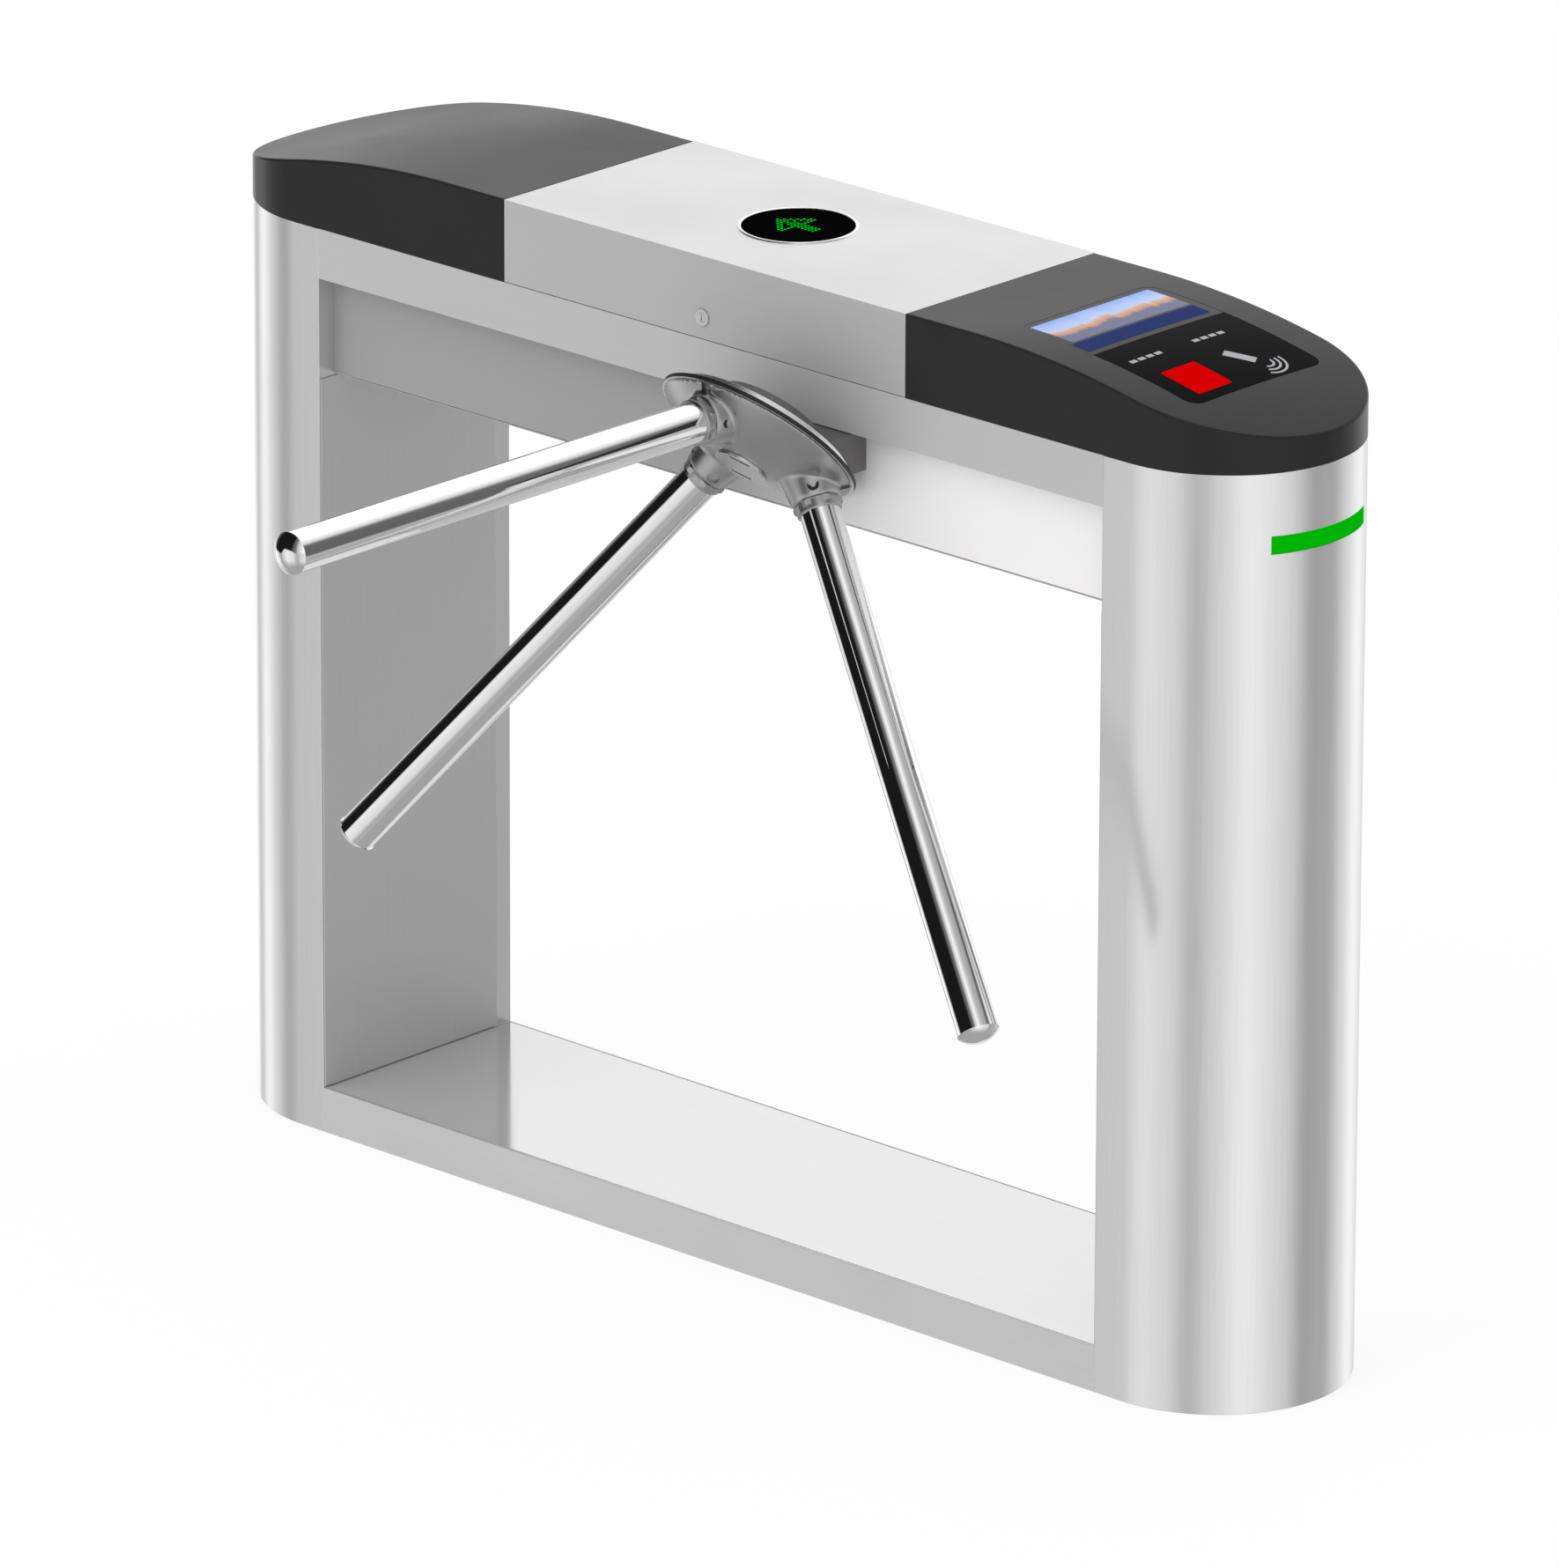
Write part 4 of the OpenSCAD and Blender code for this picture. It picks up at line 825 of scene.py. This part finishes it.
def make_arrow():
    """Small round lamps set out as an arrow that points along the passage."""
    dot = turned([(0, LENS_TOP), (DOT_R, LENS_TOP), (DOT_R - 0.15 * MM, DOT_TOP), (0, DOT_TOP)], 12)
    spots = {(column, 0) for column in range(HEAD_TIP, SHAFT_END)}
    spots |= {(column, row) for row in (-1, 1) for column in range(-2, SHAFT_END)}
    for row in range(1, HEAD_HALF + 1):
        for column in {HEAD_TIP + row, HEAD_TIP + 1 + row} | ({0} if row > 1 else set()):
            spots |= {(column, row), (column, -row)}
    dots = []
    for column, row in sorted(spots):
        one = twin(dot)
        one.location = (column * DOT_PITCH, row * DOT_PITCH, 0)
        dots.append(settle(one))
    bpy.data.objects.remove(dot, do_unlink=True)
    return shade(join(dots), 40)


arrow_green = lit("arrow_green", (0.0, 0.62, 0.02), 1.0)
fit(make_arrow(), "indicator_arrow", "cover", arrow_green, "lamp_green")

dress("light_strip", "cabinet", green_light, "lamp_green", 0.4 * MM)
dress("lock_housing", "cover", bright_steel, "arm_chrome", 0.4 * MM)
dress("lock_plug", "cover_lock", bright_steel, "bright_steel", 0.2 * MM)


# Floor, world, lamp and camera
FLOOR_SIZE = 120
FLOOR_Z = -0.5 * MM
FLOOR_GREY = 0.93
FLOOR_GLOW = 1.03
FLOOR_GLOW_SHARE = 0.82


def make_floor():
    bpy.ops.object.select_all(action="DESELECT")
    bpy.ops.mesh.primitive_plane_add(size=FLOOR_SIZE, location=(0, 0, FLOOR_Z))
    floor = bpy.context.object
    floor.name = "pale_floor"
    finish = bpy.data.materials.new("pale_floor")
    finish.use_nodes = True
    nodes, links = finish.node_tree.nodes, finish.node_tree.links
    nodes.clear()
    paper = nodes.new("ShaderNodeBsdfDiffuse")
    paper.inputs["Color"].default_value = (FLOOR_GREY, FLOOR_GREY, FLOOR_GREY, 1)
    glow = nodes.new("ShaderNodeEmission")
    glow.inputs["Strength"].default_value = FLOOR_GLOW
    clear = nodes.new("ShaderNodeBsdfTransparent")
    ray = nodes.new("ShaderNodeLightPath")
    pale = nodes.new("ShaderNodeMixShader")
    pale.inputs["Fac"].default_value = FLOOR_GLOW_SHARE
    through = nodes.new("ShaderNodeMixShader")
    out = nodes.new("ShaderNodeOutputMaterial")
    links.new(paper.outputs["BSDF"], pale.inputs[1])
    links.new(glow.outputs["Emission"], pale.inputs[2])
    links.new(ray.outputs["Is Glossy Ray"], through.inputs["Fac"])
    links.new(pale.outputs["Shader"], through.inputs[1])
    links.new(clear.outputs["BSDF"], through.inputs[2])
    links.new(through.outputs["Shader"], out.inputs["Surface"])
    floor.data.materials.append(finish)


def ring(nodes, links, around, stops):
    """Grey by direction round the object: stops are (degrees, grey), with none needed at the ends."""
    ramp = nodes.new("ShaderNodeValToRGB").color_ramp
    stops = sorted(stops)
    last, first = stops[-1], stops[0]
    share = (360 - last[0]) / (360 - last[0] + first[0])
    seam = last[1] + (first[1] - last[1]) * share
    stops = [(0, seam)] + stops + [(360, seam)]
    while len(ramp.elements) < len(stops):
        ramp.elements.new(0.5)
    for element, (degrees, grey) in zip(ramp.elements, stops):
        element.position = degrees / 360
    for element, (degrees, grey) in zip(ramp.elements, stops):
        element.color = (grey, grey, grey, 1)
    ramp.interpolation = "EASE"
    node = nodes[-1]
    links.new(around, node.inputs["Fac"])
    return node.outputs["Color"]


# Soft studio: pale panels and dark gaps all round, low down and higher up
LOW_RING = [(9, 0.76), (30, 0.37), (43, 0.48), (52, 0.43), (70, 0.80), (92, 1.15), (118, 0.79),
            (133, 0.35), (147, 1.20), (161, 0.52), (180, 1.25), (196, 0.82), (214, 0.40),
            (227, 0.68), (246, 0.92), (271, 0.82), (289, 0.49), (308, 0.76), (334, 1.04)]
HIGH_RING = [(17, 0.46), (32, 0.38), (40, 0.13), (47, 0.15), (57, 0.85), (70, 1.15), (105, 1.15),
             (133, 1.14), (160, 0.9), (175, 0.08), (190, 0.01), (262, 0.01), (281, 0.18),
             (296, 0.70), (314, 1.05), (335, 0.74), (357, 0.51)]
# Where the high ring takes over from the low one, as half plus the direction's height
EDGE_RING = [(20, 0.5), (36, 0.26), (56, 0.26), (72, 0.5), (165, 0.5), (183, 0.28), (216, 0.28),
             (238, 0.60), (262, 0.60), (285, 0.5)]
EDGE_SOFT = 0.05
BELOW_GREY = 0.40
PLAIN_LIGHT = 0.80


def make_world():
    world = bpy.data.worlds.new("soft_studio")
    bpy.context.scene.world = world
    world.use_nodes = True
    nodes, links = world.node_tree.nodes, world.node_tree.links
    nodes.clear()
    place = nodes.new("ShaderNodeTexCoord")
    parts = nodes.new("ShaderNodeSeparateXYZ")
    links.new(place.outputs["Generated"], parts.inputs["Vector"])
    angle = nodes.new("ShaderNodeMath")
    angle.operation = "ARCTAN2"
    links.new(parts.outputs["Y"], angle.inputs[0])
    links.new(parts.outputs["X"], angle.inputs[1])
    turn = nodes.new("ShaderNodeMath")
    turn.operation = "DIVIDE"
    turn.inputs[1].default_value = math.tau
    links.new(angle.outputs["Value"], turn.inputs[0])
    wrap = nodes.new("ShaderNodeMath")
    wrap.operation = "WRAP"
    wrap.inputs[1].default_value = 1.0
    wrap.inputs[2].default_value = 0.0
    links.new(turn.outputs["Value"], wrap.inputs[0])
    low = ring(nodes, links, wrap.outputs["Value"], LOW_RING)
    high = ring(nodes, links, wrap.outputs["Value"], HIGH_RING)
    over = nodes.new("ShaderNodeMath")
    over.operation = "SUBTRACT"
    links.new(parts.outputs["Z"], over.inputs[0])
    links.new(ring(nodes, links, wrap.outputs["Value"], EDGE_RING), over.inputs[1])
    rise = nodes.new("ShaderNodeMapRange")
    rise.interpolation_type = "SMOOTHSTEP"
    rise.inputs["From Min"].default_value = -0.5 - EDGE_SOFT
    rise.inputs["From Max"].default_value = -0.5 + EDGE_SOFT
    links.new(over.outputs["Value"], rise.inputs["Value"])
    sink = nodes.new("ShaderNodeMapRange")
    sink.inputs["From Min"].default_value = -0.5
    sink.inputs["From Max"].default_value = -0.8
    links.new(parts.outputs["Z"], sink.inputs["Value"])
    below = nodes.new("ShaderNodeMix")
    below.data_type = "RGBA"
    below.inputs["B"].default_value = (BELOW_GREY, BELOW_GREY, BELOW_GREY, 1)
    links.new(sink.outputs["Result"], below.inputs["Factor"])
    links.new(low, below.inputs["A"])
    rings = nodes.new("ShaderNodeMix")
    rings.data_type = "RGBA"
    links.new(rise.outputs["Result"], rings.inputs["Factor"])
    links.new(below.outputs["Result"], rings.inputs["A"])
    links.new(high, rings.inputs["B"])
    studio = nodes.new("ShaderNodeBackground")
    links.new(rings.outputs["Result"], studio.inputs["Color"])
    even = nodes.new("ShaderNodeBackground")
    even.inputs["Color"].default_value = (1, 1, 1, 1)
    even.inputs["Strength"].default_value = PLAIN_LIGHT
    white = nodes.new("ShaderNodeBackground")
    white.inputs["Color"].default_value = (1, 1, 1, 1)
    ray = nodes.new("ShaderNodeLightPath")
    gloss = nodes.new("ShaderNodeMixShader")
    links.new(ray.outputs["Is Glossy Ray"], gloss.inputs["Fac"])
    links.new(even.outputs["Background"], gloss.inputs[1])
    links.new(studio.outputs["Background"], gloss.inputs[2])
    seen = nodes.new("ShaderNodeMixShader")
    links.new(ray.outputs["Is Camera Ray"], seen.inputs["Fac"])
    links.new(gloss.outputs["Shader"], seen.inputs[1])
    links.new(white.outputs["Background"], seen.inputs[2])
    out = nodes.new("ShaderNodeOutputWorld")
    links.new(seen.outputs["Shader"], out.inputs["Surface"])


LAMP_TURN = (math.radians(38), math.radians(-22), 0)
LAMP_ENERGY = 0.7
LAMP_ANGLE = math.radians(50)


def make_lamp():
    bpy.ops.object.select_all(action="DESELECT")
    bpy.ops.object.light_add(type="SUN", rotation=LAMP_TURN)
    lamp = bpy.context.object
    lamp.name = "soft_top_lamp"
    lamp.data.energy = LAMP_ENERGY
    lamp.data.angle = LAMP_ANGLE
    lamp.visible_glossy = False


CAMERA_AT = (9.9431, -10.65575, 5.51804)
CAMERA_DEGREES = (43.08, 19.22, 0.19)
CAMERA_LENS = 381.28
CAMERA_CLIP = (0.1, 200)


def make_camera():
    """The photograph's view: far off, from the front right, a little tilted."""
    azimuth, elevation, roll = map(math.radians, CAMERA_DEGREES)
    right = Vector((math.cos(azimuth), math.sin(azimuth), 0))
    back = Vector((math.sin(azimuth) * math.cos(elevation),
                   -math.cos(azimuth) * math.cos(elevation), math.sin(elevation)))
    up = back.cross(right)
    level = right * math.cos(roll) + up * math.sin(roll)
    plumb = up * math.cos(roll) - right * math.sin(roll)
    data = bpy.data.cameras.new("camera")
    data.lens = CAMERA_LENS
    data.clip_start, data.clip_end = CAMERA_CLIP
    camera = bpy.data.objects.new("camera", data)
    bpy.context.scene.collection.objects.link(camera)
    turn = Matrix((level, plumb, back)).transposed().to_4x4()
    camera.matrix_world = Matrix.Translation(CAMERA_AT) @ turn
    bpy.context.scene.camera = camera


make_floor()
make_world()
make_lamp()
make_camera()
bpy.context.scene.view_settings.view_transform = "Standard"
